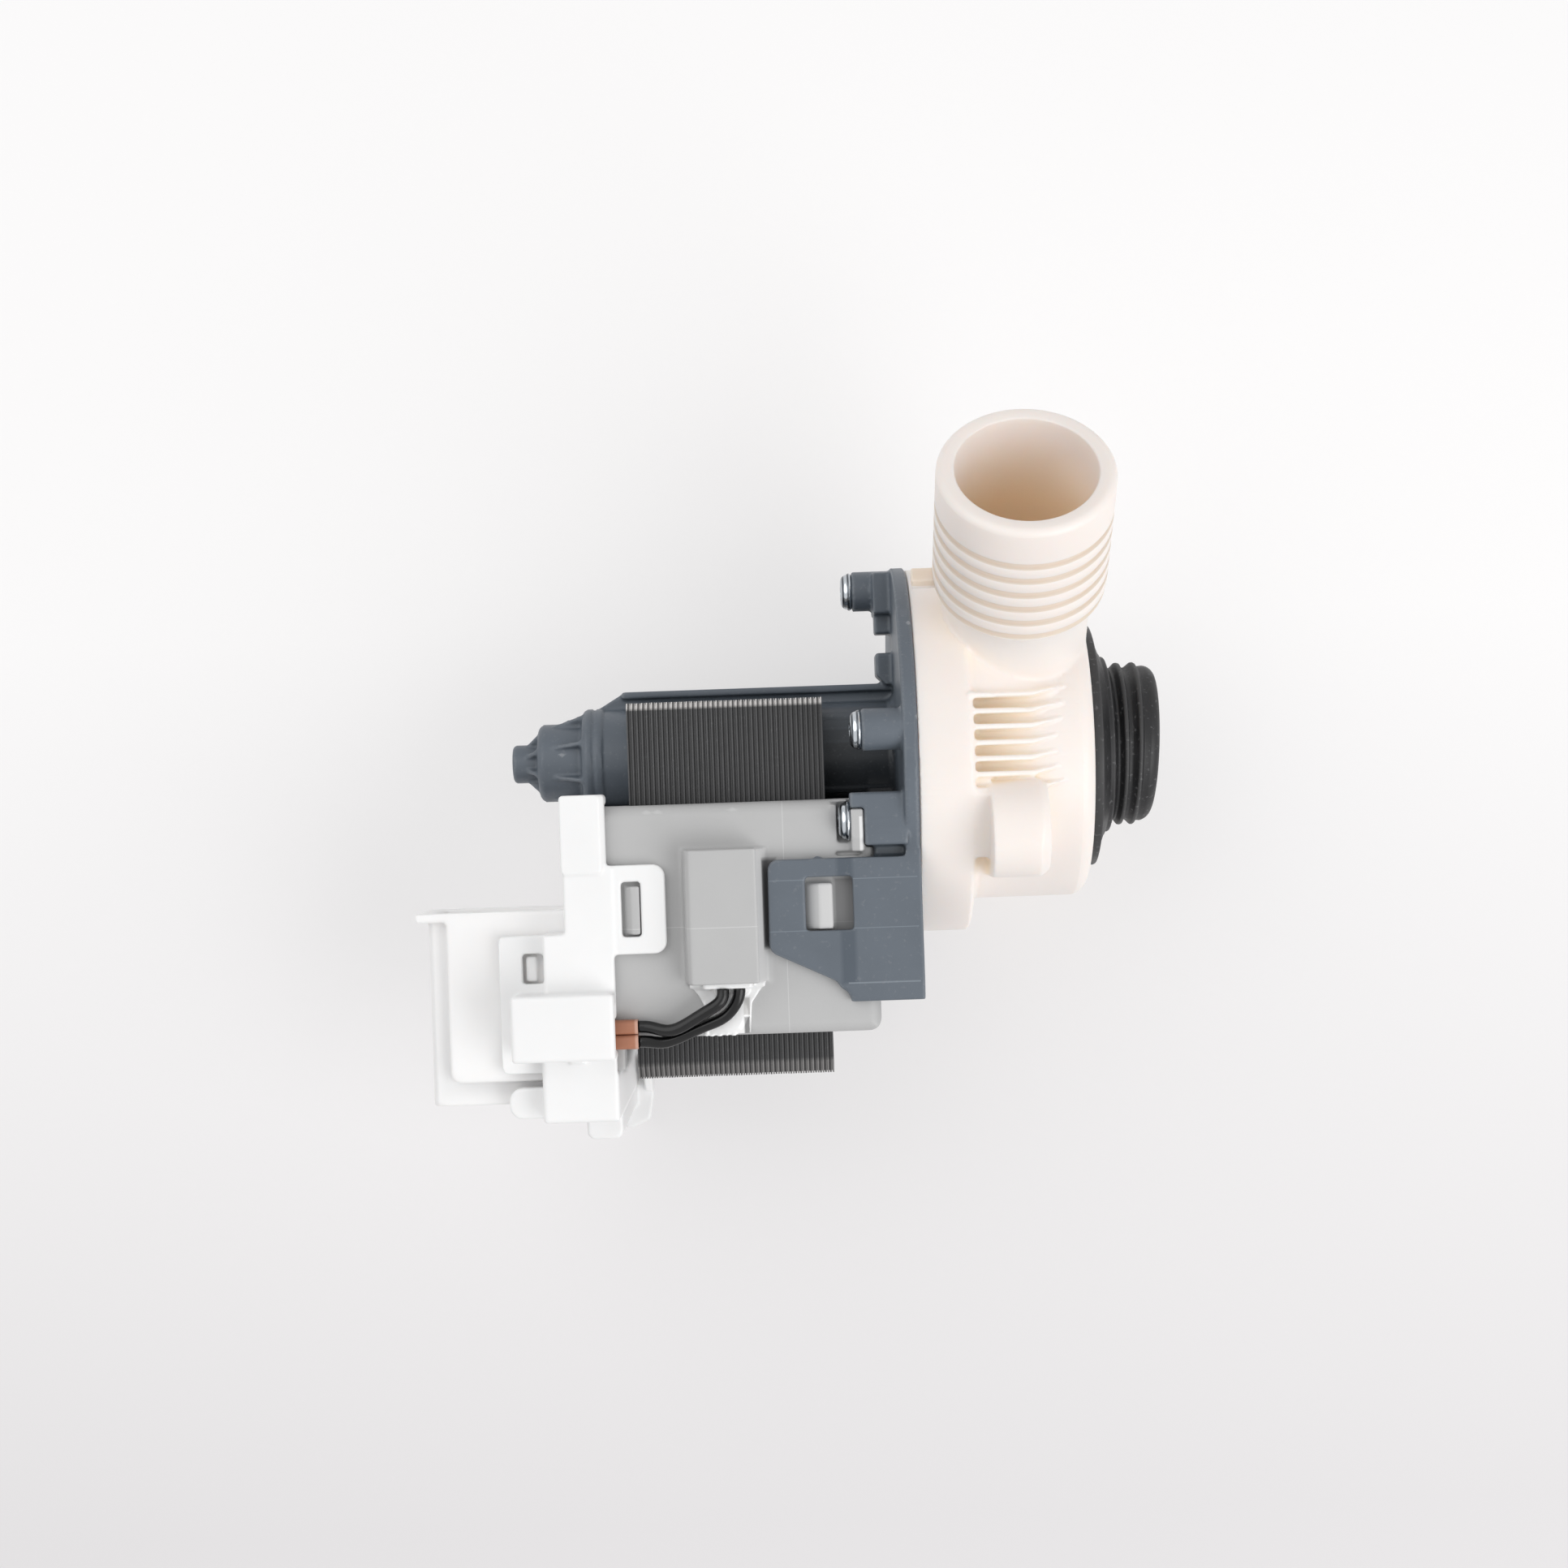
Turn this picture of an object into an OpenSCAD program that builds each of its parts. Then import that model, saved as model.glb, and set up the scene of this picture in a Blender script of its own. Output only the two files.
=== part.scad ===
// Drain pump of a washing machine. The motor axis lies along X and the inlet mouth is at the origin.
// The pump lies on its side: +Z points up from the surface, and the outlet spigot leans up towards +Y.

/* [Pump casing] */
// Distance from the inlet mouth back to the front face of the casing
seal_reach = 15.6; // [14:0.1:20]
// Length of the narrow part of the casing along the axis
body_len = 24.4; // [24:0.1:28]
// Outer radius of the narrow part
body_r = 31; // [30.5:0.1:32]
// Length of the wide drum that meets the motor flange
drum_len = 11; // [10:0.1:14]
// Distance from the screw circle out to the drum's outside
drum_rim = 4; // [3.6:0.1:4.5]
// Radius of the rounded front edge of the casing
front_round = 3.5; // [1:0.1:5]
// Wall thickness of the casing front
casing_wall = 2.6; // [1.6:0.1:3.5]
// Wall thickness of the narrow part
body_wall = 4; // [3.5:0.1:6]
// Radius of the inlet opening through seal and casing
inlet_r = 13; // [11:0.1:13.4]
// Wall thickness of the inlet collar
collar_wall = 2; // [1.5:0.1:2]
// Length of the inlet collar in front of the casing
collar_len = 7.6; // [6:0.1:9]

/* [Outlet spigot] */
// Angle of the spigot above the horizontal
outlet_tilt = 51; // [47:0.5:55]
// Sideways offset of the spigot axis from the motor axis
outlet_shift = 5.3; // [4:0.1:6.5]
// Distance from the casing front to the spigot axis
outlet_in = 14.3; // [14.2:0.1:16]
// Distance from the motor axis to the spigot mouth
outlet_reach = 75.2; // [68:0.1:85]
// Outer radius of the hose stretch
spigot_r = 17.05; // [15.5:0.05:18]
// Bore radius of the spigot
spigot_bore_r = 13.55; // [12:0.05:13.8]
// Bore radius where the spigot leaves the chamber
root_bore_r = 11; // [9:0.1:11.5]
// Outer radius of the neck below the grooves
neck_r = 14.2; // [14:0.1:14.8]
// Plain stretch between the mouth and the first groove
groove_first = 8.3; // [6:0.1:10]
// Width of one groove
groove_w = 1.5; // [1:0.1:2]
// Distance from groove to groove
groove_pitch = 3.84; // [3:0.02:4.2]
// Number of grooves
groove_n = 6; // [3:1:6]
// Depth of a groove
groove_depth = 0.55; // [0.3:0.05:1]
// Radius of the rounded rim
rim_round = 1.5; // [0.5:0.1:1.6]
// Reach of the hose stop tab beyond the spigot
stop_reach = 4.2; // [2:0.1:6]
// Width of the hose stop tab across the spigot
stop_w = 3.6; // [2:0.1:6]
// Thickness of the hose stop tab along the spigot
stop_t = 2.4; // [1.5:0.1:4]

/* [Casing ribs and lug] */
// Number of gusset ribs on the casing top
rib_n = 7; // [4:1:8]
// Distance from rib to rib
rib_pitch = 3.09; // [2.6:0.01:3.3]
// Place of the first rib across the axis
rib_first = 10; // [8:0.1:11]
// Thickness of a rib
rib_t = 1.1; // [0.8:0.1:1.5]
// Length of a rib along the axis
rib_len = 18.7; // [14:0.1:20]
// Height of a rib above the body at the drum
rib_rise = 5.6; // [3:0.1:6]
// Sideways sweep of the rib tips
rib_sweep = 1.6; // [0:0.1:2.5]
// Radius of the round top of the lug
lug_r = 8.6; // [6:0.1:9]
// Length of the lug along the axis
lug_len = 12; // [8:0.1:14]
// Gap between drum and lug
lug_gap = 2.8; // [1.5:0.1:5]
// Place of the lug across the axis
lug_y = -17.2; // [-19:0.1:-16]
// Height of the centre of the lug's round top above the body
lug_lift = 0.2; // [-2:0.1:1]

/* [Inlet seal] */
// Radius of the wide seal flange
seal_flange_r = 25; // [22:0.1:26]
// Thickness of the seal flange at its root
seal_flange_t = 3.9; // [3:0.1:4.2]
// Thickness of the seal flange at its rim
seal_rim_t = 2.1; // [1.2:0.1:2.6]
// Radius of the step ring behind the flange
seal_step_r = 18.4; // [17.5:0.1:20]
// Length of the step ring behind the flange
seal_step_len = 1.5; // [1.3:0.1:2.4]
// Radius of the sealing ribs
seal_rib_r = 16.8; // [16.4:0.1:17.4]
// Radius between the sealing ribs
seal_root_r = 15.8; // [15.6:0.05:16.1]
// Distance between the sealing ribs
seal_rib_pitch = 3.1; // [2.8:0.1:3.4]
// Width of the land on top of a rib
seal_land = 0.7; // [0.4:0.1:1]

/* [Motor housing] */
// How far the flange reaches past the drum
flange_rim = 0.5; // [0.2:0.1:1]
// Thickness of the flange
flange_t = 3; // [2.4:0.1:3.4]
// Outer radius of the rotor tube
tube_r = 10.6; // [10.4:0.05:10.8]
// Wall of the rotor tube
tube_wall = 1.2; // [1:0.05:1.3]
// Length of the rotor tube behind the flange
tube_len = 64.6; // [63.5:0.1:70]
// Radius of the rear bearing cap
cap_r = 8.05; // [7.8:0.05:9]
// Length of the rear bearing cap
cap_len = 9.3; // [9:0.1:12]
// Radius of the end nub
nub_r = 3.95; // [3.5:0.05:4.5]
// Length of the end nub
nub_len = 5.5; // [4:0.1:7]
// Number of gussets round the bearing cap
gusset_n = 8; // [6:1:10]
// Thickness of a gusset
gusset_t = 0.9; // [0.6:0.1:1.2]
// Height of the fin above the motor axis
fin_top = 14.2; // [13.4:0.1:15]
// Thickness of the fin
fin_t = 2.2; // [1.5:0.1:3]
// Width of the bead along the fin
fin_bead_w = 4.6; // [3:0.1:6]
// Depth of the bead along the fin
fin_bead_t = 1.5; // [1:0.1:1.6]
// Thickness of the latch arms
arm_t = 2.6; // [2:0.1:3.2]
// Reach of the latch arms from the mating plane
arm_reach = 30.1; // [29:0.1:31]
// Side of the latch arms nearest the axis
arm_near = 20.8; // [20.2:0.1:21.5]
// Side of the latch arms furthest from the axis
arm_far = 49.1; // [48:0.1:51]
// Side of the latch arm's free end
arm_tip_far = 38; // [37:0.1:40]
// Length of the latch window along the axis
arm_window_len = 9.3; // [8.5:0.1:10]
// Width of the latch window
arm_window_w = 10.5; // [9.9:0.1:11]
// Distance from the arm's end to its window
arm_window_in = 7.2; // [6:0.1:8]

/* [Screws] */
// Distance from the narrow part out to the screw circle
bolt_out = 2.5; // [2.4:0.05:2.7]
// Radius of a screw boss
boss_r = 4.1; // [3.9:0.05:4.3]
// Length of a screw boss behind the flange
boss_len = 7.9; // [7:0.1:9]
// Radius of a screw shank
screw_r = 1.75; // [1.5:0.05:1.9]
// Depth of the screws in the casing
screw_bite = 8; // [6:0.1:9]
// Radius of a screw head
head_r = 3.9; // [3.5:0.05:4]
// Height of a screw head
head_h = 2.2; // [1.6:0.1:2.6]

/* [Stator] */
// Thickness of one sheet
sheet_t = 0.5; // [0.4:0.05:0.51]
// Number of sheets
sheet_n = 79; // [70:1:80]
// Distance from the flange back to the sheets
core_gap = 15.1; // [14.8:0.1:16]
// Half height of the stack
core_half = 20; // [19:0.1:20.4]
// Reach of the poles beyond the motor axis
core_top = 11.3; // [11.2:0.1:11.9]
// Reach of the yoke from the motor axis
core_far = 64.3; // [62:0.1:70]
// Half width of the gap between the legs
leg_gap = 6.2; // [6:0.1:6.6]
// Thickness of the yoke
yoke_t = 9; // [7:0.1:9.2]
// Chamfer at the corners of the poles
pole_chamfer = 1.4; // [0.5:0.1:2.5]
// Chamfer at the corners of the yoke
yoke_chamfer = 2.6; // [1:0.1:4]

/* [Coils and cover] */
// How far the cover reaches past the sheets at each end
cover_over = 9.5; // [9:0.1:9.9]
// Near side of the cover
cover_near = 9.3; // [9:0.1:9.6]
// Far side of the cover
cover_far = 55.2; // [54.8:0.1:55.2]
// Half height of the cover
cover_half = 30; // [29.5:0.1:30]
// Radius of the cover's corners
cover_round = 2.6; // [1:0.1:3.5]
// Wall of a bobbin
bobbin_wall = 1.1; // [0.9:0.05:1.15]
// Depth of a winding
coil_build = 4.3; // [3.5:0.1:4.4]
// Width of the cutout box
cutout_w = 13.8; // [12:0.1:15]
// Length of the cutout box
cutout_len = 26.2; // [22:0.1:27]
// Height of the cutout box above the cover
cutout_h = 6.8; // [6.4:0.1:8]
// Distance from the near side of the cover to the cutout box
cutout_in = 9; // [8:0.1:9.5]
// Place of the cutout box from the rear end of the cover
cutout_back = 21.6; // [21:0.1:23]
// Height of a latch nub above the cover
nub_rise = 2.2; // [1:0.1:2.4]

/* [Leads] */
// Diameter of a lead
lead_d = 2.4; // [2:0.1:2.6]
// Side of a lead sleeve
sleeve_w = 2.8; // [2.7:0.05:2.85]
// Height of a lead sleeve
sleeve_h = 3; // [2.8:0.1:3.4]
// Length of a lead sleeve
sleeve_len = 11; // [8:0.1:14]

/* [Connector] */
// Gap between coil cover and connector housing
fit_gap = 0.3; // [0.2:0.05:0.3]
// Wall of the connector housing
shell_t = 2.3; // [2:0.1:2.6]
// Wall of the housing behind the coil cover
back_t = 2.9; // [2.2:0.1:3.2]
// Side of the strap nearest the axis
strap_near = 6.8; // [6:0.1:7.5]
// Reach of the strap over the coil cover
strap_over = 5.4; // [4:0.1:6]
// Reach of the window tab over the coil cover
tab_over = 16.8; // [15:0.1:18]
// Length of the raised terminal box along the axis
box_len = 20.2; // [18:0.1:22]
// Width of the raised terminal box
box_w = 13; // [12.8:0.1:14]
// Near side of the raised terminal box
box_near = 45.4; // [44:0.1:46]
// Side of the housing furthest from the axis
conn_far = 71.2; // [70:0.1:74]
// Length of the shroud along the axis
shroud_len = 28.5; // [26:0.1:30]
// Near side of the shroud, at its mouth
shroud_near = 29.6; // [28:0.1:31]
// Far side of the shroud
shroud_far = 68.3; // [66:0.1:69]
// Top of the shroud's panel
shroud_top = 23.4; // [22:0.1:23.6]
// Height of the shroud
shroud_h = 20; // [18:0.1:24]
// Wall of the shroud
shroud_wall = 1.8; // [1.4:0.1:2.2]
// Reach of the lip round the shroud's mouth
lip_reach = 2; // [1:0.1:2.2]
// Width of a terminal blade
blade_w = 6.3; // [4.8:0.1:6.3]
// Thickness of a terminal blade
blade_t = 0.8; // [0.5:0.1:0.8]
// Length of a terminal blade inside the shroud
blade_len = 17; // [12:0.5:18]

/* [Rotor] */
// Radius of the shaft
shaft_r = 2; // [1.5:0.05:2.2]
// Radius of the magnet
magnet_r = 8.9; // [8.6:0.05:9]
// How far the magnet reaches past the sheets at each end
magnet_over = 0.75; // [0:0.05:1.2]
// Bore radius of the magnet
magnet_bore_r = 4.6; // [4:0.1:5.5]
// Radial clearance of the shaft in its bearings
run_gap = 0.04; // [0.02:0.01:0.06]
// Outer radius of a bearing
bearing_r = 4; // [3.6:0.1:4.4]
// Length of a bearing
bearing_len = 7; // [5:0.1:7.4]
// Wall of the magnet carrier's end collars
collar_t = 2.4; // [1.5:0.1:3]

/* [Impeller] */
// Gap between the vane tips and the chamber wall
tip_gap = 6.5; // [5:0.1:9]
// Length of the vanes
vane_len = 15.5; // [12:0.1:17]
// Number of vanes
vane_n = 4; // [3:1:6]
// Thickness of a vane
vane_t = 1.8; // [1.2:0.1:2.2]
// Thickness of the impeller disc
disc_t = 1.6; // [1.2:0.1:2]
// Radius of the impeller hub
hub_r = 8.4; // [8.2:0.1:9.5]
// Radius of the pocket in the hub
pocket_r = 6.8; // [6.5:0.1:7]
// Depth of the pocket in the hub
pocket_len = 9; // [7:0.1:11]
// Angle that the impeller can lag behind the dog
lag_angle = 160; // [120:5:200]
// Gap between the flange and the impeller disc
impeller_gap = 1.2; // [0.8:0.1:2]

/* [Hidden] */
$fn = 64;

// How far a cutter runs past the face that it cuts
over = 1;

// Stations along the motor axis, from the inlet mouth back to the end nub
x_front = -seal_reach;
x_step = x_front - body_len;
x_mate = x_step - drum_len;
x_flange = x_mate - flange_t;
x_tube_end = x_flange - tube_len;
x_cap_end = x_tube_end - cap_len;
x_nub_end = x_cap_end - nub_len;
core_len = sheet_t * sheet_n;
x_core_front = x_flange - core_gap;
x_core_back = x_core_front - core_len;
x_cover_front = x_core_front + cover_over;
x_cover_back = x_core_back - cover_over;

// Casing
chamber_r = body_r - body_wall;
bolt_circle_r = body_r + bolt_out;
drum_r = bolt_circle_r + drum_rim;
flange_r = drum_r + flange_rim;
outlet_x = x_front - outlet_in;
x_chamber = x_front - casing_wall;
collar_r = inlet_r + collar_wall;
lug_z = body_r + lug_lift;
spigot_root = chamber_r + 16;
neck_root = chamber_r - 7;
bore_root = chamber_r - 10;
groove_end = outlet_reach - groove_first - (groove_n - 1) * groove_pitch - groove_w;
screw_angles = [0, 83, 114, 246, 277];
ear_screws = [114, 246];
shank_gap = 0.05;
o_ring_r = chamber_r + 2.6;
o_ring_section = 2.2;
groove_gap = 0.1;

// Inlet seal
seal_gap = 0.1;
seal_nose = 1.6;

// Housing
pad_near = bolt_circle_r - 5.1;
pad_half = 6.5;
can_r = tube_r - tube_wall;
rim_r = tube_r + 0.35;
bore_gap = 0.1;
arm_bottom = cover_half + fit_gap;
arm_top = arm_bottom + arm_t;
x_arm_end = x_mate - arm_reach;
x_arm_foot = x_arm_end + 15.6;
x_window = x_arm_end + arm_window_in;
window_near = arm_near + 3.6;
grommet_gap = 0.05;
grommet_wall = tube_wall + 0.4;
rear_pocket_r = cap_r - grommet_wall;
x_rear_pocket = x_cap_end + 1.4;
x_rear_bearing = x_rear_pocket + 0.4;
x_seal_back = x_flange - 1.6;
x_front_grommet = x_seal_back - bearing_len - 1;
x_front_bearing = x_front_grommet + 0.5;
nub_hole_r = shaft_r + 0.6;

// Stator: core, bobbins and windings
core_bore_r = rim_r + bore_gap;
coil_clear = 0.1;
bobbin_near = cover_near + 1.9;
bobbin_far = cover_far - 1.1;
flange_wall = 1.2;
leg_in = leg_gap - coil_clear;
leg_out = core_half + coil_clear;
leg_side = core_len / 2 + coil_clear;
bob_in = leg_in - bobbin_wall;
bob_out = leg_out + bobbin_wall;
bob_side = leg_side + bobbin_wall;
x_coil = (x_core_front + x_core_back) / 2;
coil_in = bob_in - coil_build;
coil_out = bob_out + coil_build;
coil_side = bob_side + coil_build;

// Coil cover
nub_gap = 1;
ear_t = 2.7;
ear_w = boss_r + 1.9;
x_ear_seat = x_flange - boss_len - ear_t;
block_near = boss_r + 1.4;
fence_in = boss_r - 1.6;
cutout_near = cover_near + cutout_in;
cutout_far = cutout_near + cutout_len;
x_cutout = x_cover_back + cutout_back + cutout_w / 2;
pocket_w = cutout_w - 3.6;
pocket_low = cover_half + 0.2;
pocket_high = cover_half + cutout_h - 1.6;
pocket_near = cutout_near + 2.4;
potting_rim = 7;
potting_t = 0.6;
potting_bulge = 1;
potting_in = 16;
cutout_switch_w = pocket_w - 2;

// Leads and sleeves
lead_r = lead_d / 2;
sleeve_near_y = -cutout_far - 6.6;
sleeve_gap = 0.1;
sleeve_low = cover_half + 0.3;
x_sleeve = x_cutout - 17.9;
lead_sides = 8;
// Routes of the leads from the cutout box to the sleeves: each point is the way along the axis from the middle
// of the box, the distance past the end of the box, and the height above the cover
function placed(route) = [for (p = route) [x_cutout + p[0], -cutout_far - p[1], cover_half + p[2]]];
upper_route = placed([
  [-1, 1, 4.4], [-1, 1.6, 4.4], [-1, 2.4, 4.5], [-1.5, 3.4, 4.6], [-2.6, 4.3, 4.5], [-4.2, 5.2, 4.3],
  [-5.9, 6.2, 4.1], [-7.6, 7.2, 4], [-9.2, 8.1, 3.8], [-10.9, 8.8, 3.5], [-12.6, 8.9, 3.1], [-14.2, 8.5, 2.5],
  [-15.6, 8.1, 2], [-16.8, 8, 1.8], [-17.9, 8, 1.8]
]);
lower_route = placed([
  [2.2, 1, 3.4], [2.2, 1.6, 3.4], [2.1, 2.5, 3.3], [1.6, 3.7, 3], [0.8, 5, 2.7], [-0.4, 6.3, 2.3],
  [-2, 7.3, 2.1], [-4, 8, 2], [-6.2, 8.8, 1.7], [-8.4, 9.8, 1.5], [-10.6, 10.7, 1.5], [-12.6, 11.3, 1.5],
  [-14.4, 11.3, 1.6], [-16.2, 10.9, 1.8], [-17.9, 10.9, 1.8]
]);

// Connector
conn_low = cover_half + fit_gap;
conn_high = conn_low + shell_t;
box_top = flange_r;
x_conn_in = x_cover_back - fit_gap;
x_conn_out = x_conn_in - back_t;
x_plate = x_cover_back + 6.4;
x_tab = x_cover_back + tab_over;
x_strap = x_cover_back + strap_over;
tab_near = 20.8;
tab_far = 38.3;
tab_window_near = 24.1;
tab_window_w = 10.8;
tab_window_len = 3.8;
x_tab_window = x_tab - 8.7;
step_near = 34;
clip_reach = 3.5;
x_step_end = x_conn_out - 4.3;
x_box_end = x_plate - box_len;
box_far = box_near + box_w;
shroud_low = shroud_top - shroud_h;
x_shroud = x_conn_out - shroud_len;
panel_rise = 3.2;
latch_low = shroud_top + fit_gap;
latch_t = 2.6;
x_latch = x_conn_out - 13.7;
latch_near = 34.3;
latch_far = 61.6;
shroud_floor = shroud_far - shroud_wall;
blade_pitch = 9;

// Rotor
x_shaft_back = x_rear_bearing - 2.2;
x_impeller_back = x_mate + impeller_gap;
x_shaft_front = x_impeller_back + disc_t + pocket_len + 4.5;
magnet_len = core_len + 2 * magnet_over;
x_magnet = x_coil - magnet_len / 2;
impeller_r = chamber_r - tip_gap;
hub_gap = 0.05;
glue_gap = 0.02;
dog_gap = 0.15;
x_dog = x_impeller_back + disc_t + 0.3;
dog_len = pocket_len - 0.6;
dog_w = 3.6;
dog_hub_r = 3.6;
pad_t = 1;
stop_gap = 0.3;

// Outlines and placing

function arc(c, r, a0, a1, n = 5) =
  [for (i = [0:n]) c + r * [cos(a0 + (a1 - a0) * i / n), sin(a0 + (a1 - a0) * i / n)]];

// Turns a shape that stands on +Z so that it runs along +X
module along_x() {
  rotate([0, 90, 0]) children();
}

// A ring or disc about the motor axis from its outline in [radius, x]
module turned(points) {
  along_x() rotate_extrude() polygon(points);
}

// A plain tube about the motor axis
module tube(x0, x1, r_out, r_in) {
  turned([[r_in, x0], [r_out, x0], [r_out, x1], [r_in, x1]]);
}

// A straight round rod along X at a place across the axis
module rod(x0, x1, r, y = 0, z = 0) {
  translate([x0, y, z]) along_x() cylinder(h = x1 - x0, r = r);
}

// Extrudes an outline in [y, z] from x0 to x1
module slab_x(x0, x1) {
  translate([x0, 0, 0]) rotate([90, 0, 90]) linear_extrude(x1 - x0) children();
}

// Extrudes an outline in [x, z] from y0 to y1
module slab_y(y0, y1) {
  translate([0, y1, 0]) rotate([90, 0, 0]) linear_extrude(y1 - y0) children();
}

// Extrudes an outline in [x, y] from z0 to z1
module slab_z(z0, z1) {
  translate([0, 0, z0]) linear_extrude(z1 - z0) children();
}

module rect(a0, a1, b0, b1) {
  translate([a0, b0]) square([a1 - a0, b1 - b0]);
}

// A rectangle with round corners
module round_rect(a0, a1, b0, b1, r) {
  rect(a0 + r, a1 - r, b0, b1);
  rect(a0, a1, b0 + r, b1 - r);
  for (a = [a0 + r, a1 - r]) for (b = [b0 + r, b1 - r]) translate([a, b]) circle(r, $fn = 32);
}

// A block with its edges rounded in all three directions
module soft_block(x0, x1, y0, y1, z0, z1, r) {
  intersection() {
    slab_z(z0, z1) round_rect(x0, x1, y0, y1, r);
    slab_x(x0, x1) round_rect(y0, y1, z0, z1, r);
    slab_y(y0, y1) round_rect(x0, x1, z0, z1, r);
  }
}

// The same shape on both sides of the motor's middle plane
module both_sides() {
  children();
  mirror([0, 0, 1]) children();
}

// Places a shape at a screw, with the screw axis at the origin of y and z
module at_screw(angle) {
  rotate([angle, 0, 0]) translate([0, bolt_circle_r, 0]) rotate([-angle, 0, 0]) children();
}

// Frame of the outlet spigot: +Z runs out of the mouth and x = 0 is its middle
module spigot_frame() {
  translate([outlet_x, outlet_shift * sin(outlet_tilt), -outlet_shift * cos(outlet_tilt)])
    rotate([outlet_tilt - 90, 0, 0]) children();
}

// Pump casing

casing_outline = concat(
  [[0, x_mate], [drum_r, x_mate]],
  arc([drum_r - 1.2, x_step - 1.2], 1.2, 0, 90),
  arc([body_r + 2, x_step + 2], 2, 270, 180),
  arc([body_r - front_round, x_front - front_round], front_round, 0, 90, 8),
  [[collar_r, x_front], [collar_r, x_front + collar_len - 0.8], [collar_r - 0.8, x_front + collar_len],
   [0, x_front + collar_len]]
);

spigot_outline = concat(
  [[0, neck_root], [neck_r, neck_root], [neck_r, spigot_root]],
  arc([neck_r, spigot_root + 4.2], spigot_r - neck_r, -90, 0, 4),
  [[spigot_r, spigot_root + 4.2]],
  arc([spigot_r - rim_round, outlet_reach - rim_round], rim_round, 0, 90),
  [[0, outlet_reach]]
);

module spigot_outside() {
  spigot_frame() difference() {
    rotate_extrude() polygon(spigot_outline);
    for (i = [0:groove_n - 1]) translate([0, 0, outlet_reach - groove_first - i * groove_pitch - groove_w])
      rotate_extrude() rect(spigot_r - groove_depth, spigot_r + over, 0, groove_w);
  }
}

module hose_stop() {
  spigot_frame() slab_z(groove_end + 1.4 - stop_t, groove_end + 1.4)
    round_rect(-spigot_r - stop_reach, -neck_r + 1, -stop_w / 2, stop_w / 2, 0.6);
}

// Gussets that run from the drum over the body and taper out towards the front
module rib_grille() {
  straight = rib_len * 0.62;
  intersection() {
    slab_z(0, drum_r) for (i = [0:rib_n - 1]) {
      y = rib_first - i * rib_pitch;
      polygon([
        [x_step - 1, y - rib_t / 2], [x_step + straight, y - rib_t / 2],
        [x_step + rib_len, y + rib_sweep], [x_step + straight, y + rib_t / 2],
        [x_step - 1, y + rib_t / 2]
      ]);
    }
    slab_y(-body_r, body_r) polygon([
      [x_step - 1, chamber_r + 1], [x_step - 1, body_r + rib_rise],
      [x_step + rib_len, body_r - 0.5], [x_step + rib_len, chamber_r + 1]
    ]);
  }
}

// The neck's root swells into the body on the drum side
module neck_shoulder() {
  spigot_frame() translate([0, 0, neck_root]) rotate_extrude() polygon(concat(
    [[0, 0], [neck_r + 5, 0], [neck_r + 5, 6]],
    arc([neck_r + 6, 14], 6, 260, 180, 4),
    [[0, 14]]
  ));
}

module lug() {
  x0 = x_step + lug_gap;
  intersection() {
    slab_x(x0, x0 + lug_len) {
      translate([lug_y, lug_z]) circle(lug_r);
      rect(lug_y - lug_r, lug_y + lug_r, 10, lug_z);
    }
    slab_z(0, lug_z + lug_r) round_rect(x0 - 4, x0 + lug_len, lug_y - lug_r, lug_y + lug_r, 2.6);
    slab_y(lug_y - lug_r, lug_y + lug_r) round_rect(x0 - 4, x0 + lug_len, 0, lug_z + lug_r, 2.6);
  }
}

module volute_casing() {
  color("#f4ece6") difference() {
    union() {
      turned(casing_outline);
      spigot_outside();
      intersection() {
        neck_shoulder();
        rod(x_mate, x_front - front_round, drum_r);
      }
      hose_stop();
      rib_grille();
      lug();
    }
    turned([[0, x_mate - over], [chamber_r, x_mate - over], [chamber_r, x_chamber - 2],
            [chamber_r - 2, x_chamber], [0, x_chamber]]);
    rod(x_chamber - over, 0, inlet_r);
    spigot_frame() rotate_extrude() polygon([
      [0, bore_root], [root_bore_r, bore_root], [root_bore_r, chamber_r + 2],
      [spigot_bore_r, chamber_r + 14], [spigot_bore_r, outlet_reach - 0.3],
      [spigot_bore_r + 0.3, outlet_reach], [spigot_bore_r + 0.3, outlet_reach + over], [0, outlet_reach + over]
    ]);
    for (a = screw_angles) at_screw(a) rod(x_mate - over, x_mate + screw_bite + 0.6, screw_r + shank_gap);
    tube(x_mate - over, x_mate + o_ring_section + groove_gap, o_ring_r + o_ring_section / 2 + groove_gap,
         o_ring_r - o_ring_section / 2 - groove_gap);
  }
}

module casing_o_ring() {
  color("#262626") translate([x_mate + o_ring_section / 2, 0, 0]) along_x()
    rotate_extrude() translate([o_ring_r, 0]) circle(o_ring_section / 2, $fn = 24);
}

// Inlet seal: flange, step ring and two barbed ribs on a sleeve over the casing collar
seal_in = collar_r + seal_gap;
x_seal_step = x_front + seal_flange_t;
x_seal_neck = x_seal_step + seal_step_len;
x_rib_1 = x_seal_neck + 2.2;
x_rib_2 = x_rib_1 + seal_rib_pitch;
x_collar_end = x_front + collar_len;

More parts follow.
